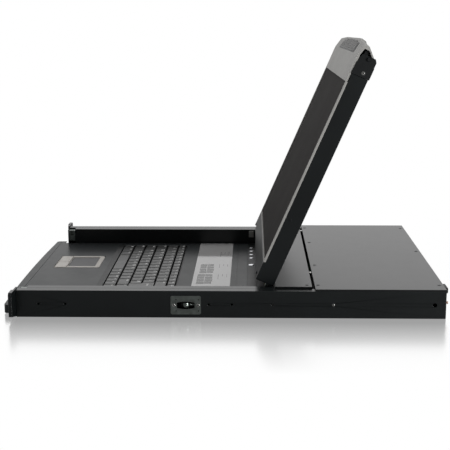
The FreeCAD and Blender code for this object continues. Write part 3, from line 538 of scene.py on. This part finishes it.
def screw_head(piece: Piece, place: Sequence[float], axis: Vector, radius: float,
               height: float, dark: int, across: Vector) -> None:
    """Add a low round screw head with a cross recess painted as two dark bars of shade.

    Args:
        piece: the piece to add to.
        place: the middle of the head's foot.
        axis: the direction the head faces.
        radius: its radius.
        height: its height.
        dark: which of the piece's finishes the two dark bars of painted recess shade have.
        across: the direction of one arm of the cross.
    """
    piece.add(turned([(0.0, 0.0), (radius, 0.0), (radius, height * 0.35), (radius * 0.8, height * 0.85),
                      (radius * 0.45, height), (0.0, height)], place, axis))
    # The cross recess is painted shade: two flat dark bars across the head's top, not a cut.
    other = axis.cross(across)
    middle = Vector(place) + axis * height * 0.97
    for along, side in ((across, other), (other, across)):
        half = along * radius * 0.5 + side * radius * 0.11 + axis * height * 0.06
        low = Vector([min(a, b) for a, b in zip(middle - half, middle + half)])
        high = Vector([max(a, b) for a, b in zip(middle - half, middle + half)])
        piece.add(block(low, high, bevel=0.0), dark)


# --- sub-assemblies ------------------------------------------------------------------
def dress_frame() -> None:
    """Give every CAD node the finish of its material slot."""
    by_slot = {finish.slot: finish for finish in reversed(FINISHES)}
    for subpart in frame["record"]["subparts"]:
        material = by_slot[subpart["material_slot"]].build()
        for material_slot in frame["nodes"][subpart["node"]].material_slots:
            material_slot.material = material


@dataclass
class SoftEdges:
    """Small radii on sheet and moulded parts, so that their edges catch the light."""

    moulded_mm: float = 0.8
    sheet_mm: float = 0.35
    angle: float = math.radians(32)
    moulded: tuple[str, ...] = ("lcd_back_cover", "handle_front_shell", "handle_back_shell", "front_lip",
                                "touchpad_surround", "power_inlet", "power_rocker")
    sheet: tuple[str, ...] = ("rear_cover", "middle_cover", "rack_ears", "lcd_bezel", "strike_blocks",
                              "side_wall_right", "side_wall_left", "latch_plates", "corner_brackets",
                              "hinge_support_blocks", "hinge_arms", "hinge_brackets", "rear_bumper",
                              "inner_rail_right", "inner_rail_left", "release_catch_right",
                              "release_catch_left", "power_supply")

    def build(self) -> None:
        """Weld and bevel the listed nodes."""
        for names, width in ((self.moulded, self.moulded_mm), (self.sheet, self.sheet_mm)):
            for name in names:
                node = frame["nodes"][name]
                weld = node.modifiers.new("weld", "WELD")
                weld.merge_threshold = 0.01 * MM
                bevel = node.modifiers.new("soft_edge", "BEVEL")
                bevel.width = width * MM
                bevel.segments = 2
                bevel.limit_method = "ANGLE"
                bevel.angle_limit = self.angle
                bevel.harden_normals = True
        log.info("soft edges: %d nodes", len(self.moulded) + len(self.sheet))


@dataclass
class KeyRow:
    """One row of keys: widths in key steps with their legends, then the number pad's."""

    name: str
    index: int
    depth: float
    groups: list[tuple[float, list[tuple[float, str]]]]
    pad: list[tuple[float, str]]


@dataclass
class Keyboard:
    """Six rows of dished keycaps with printed legends, a space bar and a two-row enter key."""

    left: float = -167.0
    front: float = -179.6
    step: float = 18.6
    pitch: float = 19.05
    function_depth: float = 13.5
    pad_left: float = 115.0
    pad_step: float = 17.0
    base: float = 10.4
    top: float = 14.6
    half_gap: float = 0.35
    taper: tuple[float, float] = (0.5, 1.2)
    dish: float = 0.3
    dish_rim: float = 0.8
    bevel: float = 0.4
    legend_size: float = 7.2
    small_legend_size: float = 4.6
    space_start: float = 3.75
    space_width: float = 5.25

    def rows(self) -> list[KeyRow]:
        """List the six rows from the user's side to the rear."""
        def keys(legends: str, width: float = 1.0) -> list[tuple[float, str]]:
            """Turn a spaced string of legends into keys of one width."""
            return [(width, legend) for legend in legends.split(" ")]

        after_space = self.space_start + self.space_width
        return [
            KeyRow("bottom", 0, self.pitch, [(0.0, keys("Ctrl Fn Alt", 1.25)),
                                             (after_space, keys("Alt Fn Ctrl < v >"))],
                   [(2.0, "0"), (1.0, "."), (1.0, "")]),
            KeyRow("lower", 1, self.pitch, [(0.0, [(2.25, "Shift")] + keys("Z X C V B N M , . /")
                                             + [(1.75, "Shift"), (1.0, "^")])], keys("1 2 3 En")),
            KeyRow("home", 2, self.pitch, [(0.0, [(1.75, "Caps")] + keys("A S D F G H J K L ; ' #"))],
                   keys("4 5 6 +")),
            KeyRow("upper", 3, self.pitch, [(0.0, [(1.5, "Tab")] + keys("Q W E R T Y U I O P [ ]"))],
                   keys("7 8 9 +")),
            KeyRow("number", 4, self.pitch, [(0.0, keys("` 1 2 3 4 5 6 7 8 9 0 - =") + [(2.0, "Back")])],
                   keys("Nm / * -")),
            KeyRow("function", 5, self.function_depth,
                   [(0.0, keys("Esc F1 F2 F3 F4 F5 F6 F7 F8 F9 F10 F11 F12 Prt Del"))],
                   keys("Hm Up Dn End")),
        ]

    def cap(self, piece: Piece, x0: float, x1: float, y0: float, y1: float, legend: str) -> None:
        """Add one dished keycap and its legend.

        Args:
            piece: the row being built.
            x0: left edge of the key's cell.
            x1: right edge.
            y0: front edge.
            y1: rear edge.
            legend: the printed legend, or nothing.
        """
        gap = self.half_gap
        shape = block((x0 + gap, y0 + gap, self.base), (x1 - gap, y1 - gap, self.top),
                      self.bevel, 2, self.taper)
        top = max(shape.faces, key=lambda face: (round(face.normal.z, 2), face.calc_area()))
        bmesh.ops.inset_region(shape, faces=[top], thickness=self.dish_rim, depth=-self.dish)
        piece.add(shape)
        if legend:
            self.print_legend(piece, x0, y1, legend)

    def print_legend(self, piece: Piece, left: float, rear: float, legend: str) -> None:
        """Print a legend near the left rear corner of a key.

        Args:
            piece: the row being built.
            left: left edge of the key's cell.
            rear: rear edge of the key's cell.
            legend: the printed legend.
        """
        size = self.legend_size if len(legend) == 1 else self.small_legend_size
        inset_x, inset_y = (self.half_gap + taper + self.dish_rim for taper in self.taper)
        place = (left + inset_x + 1.0, rear - inset_y - 0.4 - size * 0.72, self.top - self.dish + 0.02)
        piece.add(lettering(legend, size, place), 1)

    def enter(self, piece: Piece) -> None:
        """Add the two-row enter key, wider in its upper row."""
        gap, row = self.half_gap, self.front + 3 * self.pitch
        right = self.left + 15 * self.step - gap
        wide, narrow = right + 2 * gap - 1.5 * self.step, right + 2 * gap - 1.25 * self.step
        front, rear = self.front + 2 * self.pitch + gap, row + self.pitch - gap
        outline = [(right, rear), (wide, rear), (wide, row + gap), (narrow, row + gap),
                   (narrow, front), (right, front)]
        piece.add(plate(outline, self.base, self.top, self.bevel))
        piece.add(lettering("Enter", self.small_legend_size, (narrow + 3.0, row + 8.0, self.top + 0.02)), 1)

    def build(self) -> None:
        """Build every row on its own body, and the space bar."""
        for row in self.rows():
            piece = Piece(KEY_ABS, LEGEND_INK)
            y0 = self.front + row.index * self.pitch
            spans = [(self.left + start * self.step, self.step, keys) for start, keys in row.groups]
            for x, step, keys in spans + [(self.pad_left, self.pad_step, row.pad)]:
                for width, legend in keys:
                    self.cap(piece, x, x + width * step, y0, y0 + row.depth, legend)
                    x += width * step
            if row.name == "home":
                self.enter(piece)
            piece.finish("keycaps_" + row.name, Body("keys_" + row.name), replaces=["key_row_" + row.name])
        piece = Piece(KEY_ABS)
        start = self.left + self.space_start * self.step
        end = start + self.space_width * self.step
        self.cap(piece, start, end, self.front, self.front + self.pitch, "")
        piece.finish("keycap_space", Body.SPACE_BAR, replaces=["space_bar"])


@dataclass
class Touchpad:
    """The dark pad with its board, and two soft-edged buttons."""

    pad_low: tuple[float, float, float] = (-80.7, -253.7, 9.4)
    pad_high: tuple[float, float, float] = (-20.3, -210.3, 12.8)
    buttons_y: tuple[float, float] = (-273.7, -255.8)
    buttons_x: tuple[tuple[float, float], ...] = ((-87.2, -50.7), (-50.1, -13.6))
    buttons_z: tuple[float, float] = (11.0, 14.0)

    def build(self) -> None:
        """Build the pad and both buttons."""
        piece = Piece(PAD_FILM, SOLDER_MASK)
        outline = rounded_outline(self.pad_low[:2], self.pad_high[:2], 2.0)
        piece.add(plate(outline, self.pad_low[2], self.pad_high[2], 0.3))
        piece.add(block((-86.0, -273.0, 8.0), (-14.8, -212.0, 9.4), 0.1), 1)
        piece.finish("touch_sensor", replaces=["touchpad_pad"])
        for body, (x0, x1) in zip((Body.TOUCH_LEFT, Body.TOUCH_RIGHT), self.buttons_x):
            piece = Piece(SILVER_ABS)
            outline = rounded_outline((x0, self.buttons_y[0]), (x1, self.buttons_y[1]), 1.2)
            piece.add(plate(outline, self.buttons_z[0], self.buttons_z[1], 0.6, 3))
            side = body.value.split("_")[1]
            piece.finish("click_button_" + side, body, replaces=["touch_button_" + side])


@dataclass
class LabelStrip:
    """Glossy printed film across the deck: two groups of plain blocks and a few faint dashes."""

    low: tuple[float, float, float] = (-187.5, -47.2, 13.4)
    high: tuple[float, float, float] = (187.5, 10.6, 13.8)
    groups: tuple[tuple[float, float, float, float], ...] = ((-35.0, -39.0, 24.0, -16.5),
                                                             (29.5, -41.0, 89.0, -16.5))
    columns: int = 4
    rows: int = 2
    gap: float = 2.4
    dash_rows: tuple[float, ...] = (-9.0, -2.5, 4.0)
    dash_blocks: tuple[tuple[float, float], ...] = ((-120.0, -82.0), (-35.0, -8.0), (30.0, 62.0),
                                                    (110.0, 150.0))

    def build(self) -> None:
        """Build the film with its print."""
        piece = Piece(LABEL_FILM, LABEL_PRINT, INK)
        outline = rounded_outline(self.low[:2], self.high[:2], 2.5)
        piece.add(plate(outline, self.low[2], self.high[2], 0.12))
        top = self.high[2]
        for x0, y0, x1, y1 in self.groups:
            wide, deep = (x1 - x0) / self.columns, (y1 - y0) / self.rows
            for index in range(self.columns * self.rows):
                x, y = x0 + wide * (index % self.columns), y0 + deep * (index // self.columns)
                inset = self.gap * (0.35 + 0.3 * ((index * 2) % 3))
                corner = (x + wide - inset, y + deep - inset * 0.6, top + 0.02)
                piece.add(block((x, y, top), corner, 0.0), 1)
        for index, y in enumerate(self.dash_rows):
            for x0, x1 in self.dash_blocks:
                end = x1 - (x1 - x0) * (0.1 + 0.17 * ((index * 3) % 4))
                piece.add(block((x0, y, top), (end, y + 0.7, top + 0.015), 0.0), 2)
        piece.finish("printed_label", replaces=["label_strip"])


@dataclass
class StripButtons:
    """Domed chrome buttons in the control strip."""

    y: float = 42.9
    foot: float = 9.4
    tip: float = 14.0
    small: float = 4.0
    large: float = 5.5
    small_x: tuple[float, ...] = (-156.5, -131.5, -106.5, -81.5)
    large_x: float = -35.0

    def dome(self, name: str, body: Body, x: float, radius: float, node: str) -> None:
        """Turn one button with a domed cap and a fine rim."""
        tip = self.tip
        profile = [(0.0, self.foot), (radius, self.foot), (radius, tip - 1.0), (radius * 0.94, tip - 0.6),
                   (radius * 0.78, tip - 0.25), (radius * 0.45, tip - 0.06), (0.0, tip)]
        piece = Piece(CHROME)
        piece.add(turned(profile, (x, self.y, 0.0), UP, 32))
        piece.finish(name, body, replaces=[node])

    def build(self) -> None:
        """Build the four small buttons and the larger one."""
        for number, x in enumerate(self.small_x, start=1):
            self.dome(f"menu_button_{number}", Body(f"osd_{number}"), x, self.small, f"osd_button_{number}")
        self.dome("screen_button", Body.POWER_BUTTON, self.large_x, self.large, "display_power_button")


@dataclass
class DisplayTrim:
    """The display's ribbed grip and side screws."""

    grip_half: float = 118.0
    grip_taper: float = 9.0
    grip_crest: tuple[float, float] = (50.0, 19.8)
    grip_span: tuple[float, float] = (2.0, 16.5)
    grip_height: float = 1.0
    grip_start: float = 331.0
    slope: float = math.atan2(5.0, 21.0)
    rib_step: float = 2.9
    rib_count: int = 6
    half: float = 187.0
    screws: tuple[tuple[float, float, float, float], ...] = ((312.0, 17.0, 1.2, 2.6),
                                                             (89.0, 10.0, 0.0, 1.3))

    def build(self) -> None:
        """Build the grip and the screws."""
        self.grip()
        self.side_screws()

    def grip(self) -> None:
        """Lay the ribbed pad on the handle's slope: the ribs stand on a black base that paints the shade in the
        grooves between them, over a thin black sheet that paints a shadow line round the pad.
        """
        front, rear = self.grip_span
        piece = Piece(GRIP_RUBBER, BLACK_ABS)
        foot, shoulder, crest = self.grip_half, self.grip_half - self.grip_taper, self.grip_crest[0]
        half_plan = [(foot, front), (shoulder, rear), self.grip_crest]
        plan = half_plan + [(-x, y) for x, y in reversed(half_plan)]
        # Black base under the ribs: painted shade in the grooves between them.
        piece.add(plate(plan, 0.0, self.grip_height * 0.6, 0.2), 1)
        # Thin black sheet a little wider than the pad: a painted shadow line round it.
        piece.add(plate([(x + math.copysign(1.1, x), y + (-1.0 if y == front else 0.4)) for x, y in plan],
                        -0.2, 0.12), 1)
        for index in range(self.rib_count):
            y = front + 0.5 + self.rib_step * index
            reach = min(shoulder - 3.0, crest + (self.grip_crest[1] - y) * 9.0)
            piece.add(block((-reach, y, 0.3), (reach, y + self.rib_step * 0.68, self.grip_height), 0.3))
        turn = Matrix.Translation((0, self.grip_start, 0)) @ Matrix.Rotation(-self.slope, 4, "X")
        bmesh.ops.transform(piece.shape, matrix=turn, verts=piece.shape.verts[:])
        piece.finish("ribbed_grip", Body.DISPLAY, Place.DISPLAY, ["handle_grip"])

    def side_screws(self) -> None:
        """Set a bright screw in each corner bracket, and a dark plugged one in each side."""
        piece = Piece(NICKEL, BLACK_ABS)
        for side in (-1, 1):
            axis = Vector((side, 0, 0))
            for u, depth, out, radius in self.screws:
                place = Vector((side * (self.half + out), u, -depth))
                piece.add(turned([(0.0, 0.0), (radius + 1.1, 0.0), (radius + 0.9, 0.15), (0.0, 0.15)],
                                 place, axis), 1)
                if out:
                    screw_head(piece, place + axis * 0.1, axis, radius, 0.7, 1, Vector((0, 1, 0)))
        piece.finish("display_screws", Body.DISPLAY, Place.DISPLAY, ["lcd_screws"])


@dataclass
class SideFittings:
    """Screws, rivet dimples painted as flat dark discs of shade, and the sprung roller in the side walls' latch
    plates.
    """

    wall: float = 216.5
    plate_sheet: float = 0.8
    plate_y: tuple[float, float] = (-68.5, -26.6)
    plate_z: tuple[float, float] = (5.0, 31.5)
    screw_y: float = 156.0
    screw_z: float = 19.2
    roller_radius: float = 5.0
    roller_height: float = 6.4
    spring_radius: float = 2.5
    spring_rings: int = 7

    def build(self) -> None:
        """Build the screws on both sides and both rollers."""
        middle_z = sum(self.plate_z) / 2
        face = self.wall + self.plate_sheet
        piece = Piece(NICKEL, BLACK_ABS)
        for side in (-1, 1):
            axis = Vector((side, 0, 0))
            wall_place = Vector((side * self.wall, self.screw_y, self.screw_z))
            screw_head(piece, wall_place, axis, 1.9, 0.5, 1, UP)
            piece.add(turned([(1.9, 0.0), (2.9, 0.0), (2.8, 0.12), (1.9, 0.12)], wall_place, axis), 1)
            for y in (self.plate_y[0] + 4.2, self.plate_y[1] - 4.2):
                screw_head(piece, (side * face, y, middle_z), axis, 2.4, 0.7, 1, UP)
            # Rivet dimples: flat dark discs, painted shade in place of the hollows.
            for y in (self.plate_y[0] + 7.6, self.plate_y[1] - 3.4):
                for z in (self.plate_z[0] + 5.0, self.plate_z[1] - 5.5):
                    piece.add(turned([(0.0, 0.0), (0.9, 0.0), (0.7, 0.1), (0.0, 0.1)],
                                     (side * face, y, z), axis, 12), 1)
        piece.finish("side_screw_heads", replaces=["side_screws"])
        for body, name, side in ((Body.ROLLER_RIGHT, "right", 1), (Body.ROLLER_LEFT, "left", -1)):
            self.roller(body, name, side, middle_z)

    def roller(self, body: Body, name: str, side: int, middle_z: float) -> None:
        """Build one roller on its carriage with a coil spring beside it.

        Args:
            body: the body it rides on.
            name: which side it is on, for the name.
            side: 1 for the right side, -1 for the left.
            middle_z: the height of its middle.
        """
        x = side * (self.wall + self.plate_sheet + 0.5 - self.roller_radius)
        y = sum(self.plate_y) / 2
        low, high = middle_z - self.roller_height / 2, middle_z + self.roller_height / 2
        piece = Piece(ZINC, BLACK_ABS)
        radius, height = self.roller_radius, self.roller_height
        piece.add(turned([(0.0, 0.0), (radius - 0.6, 0.0), (radius, 0.5), (radius, height - 0.5),
                          (radius - 0.6, height), (0.0, height)], (x, y, low), UP, 32))
        carriage = sorted((x - side * 9.0, x - side * 2.0))
        piece.add(block((carriage[0], y - 7, low), (carriage[1], y + 7, high), 0.4), 1)
        wire = 0.4
        ring = [(self.spring_radius + wire * math.cos(turn), wire * math.sin(turn))
                for turn in [math.pi / 3 * step for step in range(7)]]
        for index in range(self.spring_rings):
            place = (x - side * 0.5, y + radius + 0.8 + index * 0.9, middle_z)
            piece.add(turned(ring, place, Vector((0, 1, 0)), 16), 0)
        piece.finish("sprung_roller_" + name, body, replaces=["latch_roller_" + name])


@dataclass
class CoverFittings:
    """Low black screws in the covers and two bright clips in the gap between them."""

    top: float = 41.2
    gap_y: tuple[float, float] = (127.2, 130.8)
    clip_x: tuple[float, ...] = (-174.5, 118.0)
    centre_screw: tuple[float, float] = (-15.6, 304.0)
    paired_screws: tuple[tuple[float, float], ...] = ((192.6, 136.0), (77.5, 138.0), (191.0, 304.0),
                                                      (192.8, 120.4))

    def build(self) -> None:
        """Build the screws and the clips."""
        piece = Piece(BLACK_COAT, BLACK_ABS)
        places = [self.centre_screw] + [(side * x, y) for side in (-1, 1) for x, y in self.paired_screws]
        for x, y in places:
            screw_head(piece, (x, y, self.top), UP, 2.6, 0.5, 1, Vector((1, 0, 0)))
        piece.finish("cover_screw_heads", replaces=["cover_screws"])
        piece = Piece(NICKEL)
        for x in self.clip_x:
            piece.add(block((x - 3.5, self.gap_y[0], 36.0), (x + 3.5, self.gap_y[1], 40.4), 0.8, 3))
        piece.finish("gap_clips", replaces=["cover_screws"])


@dataclass
class RearFittings:
    """Connectors and the earth stud on the rear panel."""

    face: float = 310.0
    tip: float = 315.0
    port_x: tuple[float, ...] = tuple(-188.0 + 32.0 * index for index in range(8))
    port_z: float = 20.0
    usb_x: tuple[float, ...] = (78.0, 96.0)
    stud: tuple[float, float] = (201.0, 19.0)
    rear: Vector = field(default_factory=lambda: Vector((0, 1, 0)))

    def shell(self, piece: Piece, outline: list[tuple[float, float]], x: float, z: float,
              start: float, end: float, finish: int = 0, bevel: float = 0.0) -> None:
        """Raise an outline out of the rear panel.

        Args:
            piece: the piece to add to.
            outline: (x, z) corners about the fitting's middle, counter-clockwise.
            x: the fitting's middle.
            z: the fitting's height.
            start: where it begins along Y.
            end: where it ends.
            finish: which of the piece's finishes it has.
            bevel: the width of its softened rim.
        """
        shape = plate([(px, -pz) for px, pz in reversed(outline)], start, end, bevel)
        turn = Matrix(((1, 0, 0, x), (0, 0, 1, 0), (0, -1, 0, z), (0, 0, 0, 1)))
        bmesh.ops.transform(shape, matrix=turn, verts=shape.verts[:])
        piece.add(shape, finish)

    def video_ports(self) -> None:
        """Build the D-shaped connectors with their pin holes and jack nuts."""
        piece = Piece(TIN, BLACK_ABS, NICKEL)
        for x in self.port_x:
            outer = [(-7.6, -4.2), (7.6, -4.2), (8.6, 4.2), (-8.6, 4.2)]
            inner = [(px * 0.93, pz * 0.88) for px, pz in outer]
            self.shell(piece, outer, x, self.port_z, self.face - 1.5, self.tip - 0.3, 0, 0.3)
            self.shell(piece, inner, x, self.port_z, self.tip - 0.35, self.tip - 0.1, 1)
            piece.add(block((x - 15, 296, self.port_z - 6), (x + 15, self.face - 1.5, self.port_z + 6)), 1)
            for row in (-1, 0, 1):
                for column in range(5):
                    px = x + (column - 2) * 2.3 + (row % 2) * 0.6
                    piece.add(rod((px, self.tip - 0.12, self.port_z + row * 2.1), self.rear, 0.42, 0.1,
                                  0.02, 8), 2)
            for side in (-12.5, 12.5):
                nut = [(2.9, 0.0), (2.9, 4.6), (2.6, 5.0), (1.5, 5.0), (1.5, 3.0), (0.0, 3.0)]
                piece.add(turned(nut, (x + side, self.face, self.port_z), self.rear, 6), 2)
        piece.finish("video_connectors", replaces=["video_ports"])

    def console_ports(self) -> None:
        """Build the two flat console sockets with their tongues."""
        piece = Piece(TIN, BLACK_ABS)
        for x in self.usb_x:
            low, high, z = x - 6.6, x + 6.6, self.port_z
            for a, b in (((low, 2.3), (high, 3.1)), ((low, -3.1), (high, -2.3))):
                piece.add(block((a[0], 296, z + a[1]), (b[0], self.face + 0.8, z + b[1]), 0.15))
            for a, b in ((low, low + 0.6), (high - 0.6, high)):
                piece.add(block((a, 296, z - 2.3), (b, self.face + 0.8, z + 2.3), 0.1))
            piece.add(block((x - 5.6, 296, z), (x + 5.6, self.face, z + 1.6), 0.2), 1)
            piece.add(block((x - 6, 296, z - 2.3), (x + 6, 299, z + 2.3), 0.0), 1)
        piece.finish("console_sockets", replaces=["console_ports"])

    def earth_stud(self) -> None:
        """Turn the threaded stud over its hexagonal nut."""
        piece = Piece(STUD_PLATE)
        x, z = self.stud
        piece.add(turned([(1.9, 0.0), (4.2, 0.0), (4.2, 1.9), (3.7, 2.4), (1.9, 2.4)],
                         (x, self.face, z), self.rear, 6))
        thread = [(0.0, -6.0), (1.8, -6.0)]
        for index in range(15):
            thread += [(1.75, -5.6 + index * 0.7), (2.0, -5.25 + index * 0.7)]
        thread += [(1.6, 5.0), (0.0, 5.0)]
        piece.add(turned(thread, (x, self.face, z), self.rear, 20))
        piece.finish("earth_terminal", replaces=["ground_stud"])

    def build(self) -> None:
        """Build every rear fitting."""
        self.video_ports()
        self.console_ports()
        self.earth_stud()


# --- studio --------------------------------------------------------------------------
@dataclass
class Studio:
    """A pale floor that mirrors a little, a white backdrop, soft lights and the camera."""

    camera_mm: tuple[float, float, float] = (1562.3, 44.4 + CENTRE_SHIFT, 411.1)
    yaw: float = 0.0278
    pitch: float = 0.2050
    roll: float = -0.0032
    lens_mm: float = 81.16
    sensor_mm: float = 36.0
    floor_half: float = 60.0
    floor_mirror: float = 0.66
    floor_blur: float = 0.2
    floor_dim: float = 0.2
    mirror_fade: tuple[float, float] = (0.235, 0.44)
    mirror_fade_along: tuple[float, float] = (0.36, 0.6)
    bright: float = 1.0
    dim: float = 0.13
    softbox_place: tuple[float, float, float] = (0.9, 0.95, 0.35)
    softbox_target: tuple[float, float, float] = (0.22, 0.3, 0.02)
    softbox_size: tuple[float, float] = (0.4, 0.3)
    softbox_watts: float = 9.0
    lights: list[bpy.types.Object] = field(default_factory=list)

    def camera(self) -> None:
        """Place the camera, looking along -X and a little down."""
        data = bpy.data.cameras.new("camera")
        data.sensor_width = self.sensor_mm
        data.lens = self.lens_mm
        data.clip_start = 0.05
        data.clip_end = 200.0
        level = math.cos(self.pitch)
        forward = Vector((-math.cos(self.yaw) * level, -math.sin(self.yaw) * level,
                          -math.sin(self.pitch)))
        right = Vector((-math.sin(self.yaw), math.cos(self.yaw), 0.0))
        up = right.cross(forward)
        turned_right = math.cos(self.roll) * right + math.sin(self.roll) * up
        turned_up = math.cos(self.roll) * up - math.sin(self.roll) * right
        matrix = Matrix((turned_right, turned_up, -forward)).transposed().to_4x4()
        matrix.translation = Vector(self.camera_mm) * MM
        camera = bpy.data.objects.new("camera", data)
        camera.matrix_world = matrix
        bpy.context.scene.collection.objects.link(camera)
        bpy.context.scene.camera = camera

    def area(self, name: str, place: Sequence[float], target: Sequence[float],
             size: tuple[float, float], watts: float) -> None:
        """Add a soft rectangular light.

        Args:
            name: the light's name.
            place: its position in metres.
            target: the point it faces.
            size: its width and height in metres.
            watts: its power.
        """
        data = bpy.data.lights.new(name, "AREA")
        data.shape = "RECTANGLE"
        data.size, data.size_y = size
        data.energy = watts
        light = bpy.data.objects.new(name, data)
        light.location = place
        aim = Vector(target) - Vector(place)
        light.rotation_euler = aim.to_track_quat("-Z", "Y").to_euler()
        bpy.context.scene.collection.objects.link(light)
        self.lights.append(light)

    def floor(self) -> None:
        """Lay a white floor with a soft mirror image close round what stands on it.

        The floor's glow is weaker in reflections, so that dark coats do not grey from below.
        """
        tool = bmesh.new()
        bmesh.ops.create_grid(tool, x_segments=1, y_segments=1, size=self.floor_half)
        mesh = bpy.data.meshes.new("floor")
        tool.to_mesh(mesh)
        tool.free()
        floor = bpy.data.objects.new("floor", mesh)
        floor.location.z = -0.2 * MM
        bpy.context.scene.collection.objects.link(floor)
        material = bpy.data.materials.new("white_mirror_floor")
        material.use_nodes = True
        tree = material.node_tree
        tree.nodes.clear()
        mirrored = add_node(tree, "LightPath").outputs["Is Glossy Ray"]
        level = add_node(tree, "Mix", data_type="FLOAT", values={2: self.bright, 3: self.floor_dim},
                         links={0: mirrored})
        glow = add_node(tree, "Emission", links={"Strength": level.outputs[0]})
        mirror = add_node(tree, "BsdfAnisotropic", values={"Roughness": self.floor_blur,
                                                           "Color": (1.0, 1.0, 1.0, 1.0)})
        place = add_node(tree, "TexCoord").outputs["Object"]
        away = add_node(tree, "VectorMath", operation="ABSOLUTE", links={0: place})
        split = add_node(tree, "SeparateXYZ", links={0: away.outputs["Vector"]})
        across, along = (
            add_node(tree, "MapRange", values={"From Min": start, "From Max": end, "To Min": full,
                                               "To Max": 0.0}, links={"Value": split.outputs[axis]})
            for axis, (start, end), full in (("X", self.mirror_fade, self.floor_mirror),
                                             ("Y", self.mirror_fade_along, 1.0)))
        amount = add_node(tree, "Math", operation="MULTIPLY",
                          links={0: across.outputs["Result"], 1: along.outputs["Result"]})
        mix = add_node(tree, "MixShader", links={0: amount.outputs["Value"], 1: glow.outputs[0],
                                                 2: mirror.outputs[0]})
        add_node(tree, "OutputMaterial", links={"Surface": mix.outputs[0]})
        mesh.materials.append(material)

    def world(self) -> None:
        """Surround the set with a white backdrop that darkens towards the near side."""
        world = bpy.data.worlds.new("studio")
        world.use_nodes = True
        bpy.context.scene.world = world
        tree = world.node_tree
        tree.nodes.clear()
        direction = add_node(tree, "TexCoord").outputs["Generated"]
        split = add_node(tree, "SeparateXYZ", links={0: direction})
        side = add_node(tree, "MapRange", interpolation_type="SMOOTHSTEP",
                        values={"From Min": -0.35, "From Max": 0.4, "To Min": self.bright,
                                "To Max": self.dim}, links={"Value": split.outputs["X"]})
        seen = add_node(tree, "LightPath").outputs["Is Camera Ray"]
        level = add_node(tree, "Mix", data_type="FLOAT", values={3: 1.0},
                         links={0: seen, 2: side.outputs["Result"]})
        background = add_node(tree, "Background", links={"Strength": level.outputs[0]},
                              values={"Color": (1.0, 1.0, 1.0, 1.0)})
        add_node(tree, "OutputWorld", links={"Surface": background.outputs[0]})

    def build(self) -> None:
        """Set up the whole studio."""
        self.world()
        self.floor()
        self.area("rear_softbox", self.softbox_place, self.softbox_target, self.softbox_size,
                  self.softbox_watts)
        self.camera()
        bpy.context.scene.view_settings.view_transform = "Standard"
        log.info("studio: %d lights", len(self.lights))


def main() -> None:
    """Dress the frame, build every sub-assembly and set up the studio."""
    logging.basicConfig(level=logging.INFO, format="%(message)s")
    dress_frame()
    SoftEdges().build()
    for assembly in (Keyboard(), Touchpad(), LabelStrip(), StripButtons(), DisplayTrim(),
                     SideFittings(), CoverFittings(), RearFittings(), Studio()):
        assembly.build()


if __name__ == "__main__":
    main()
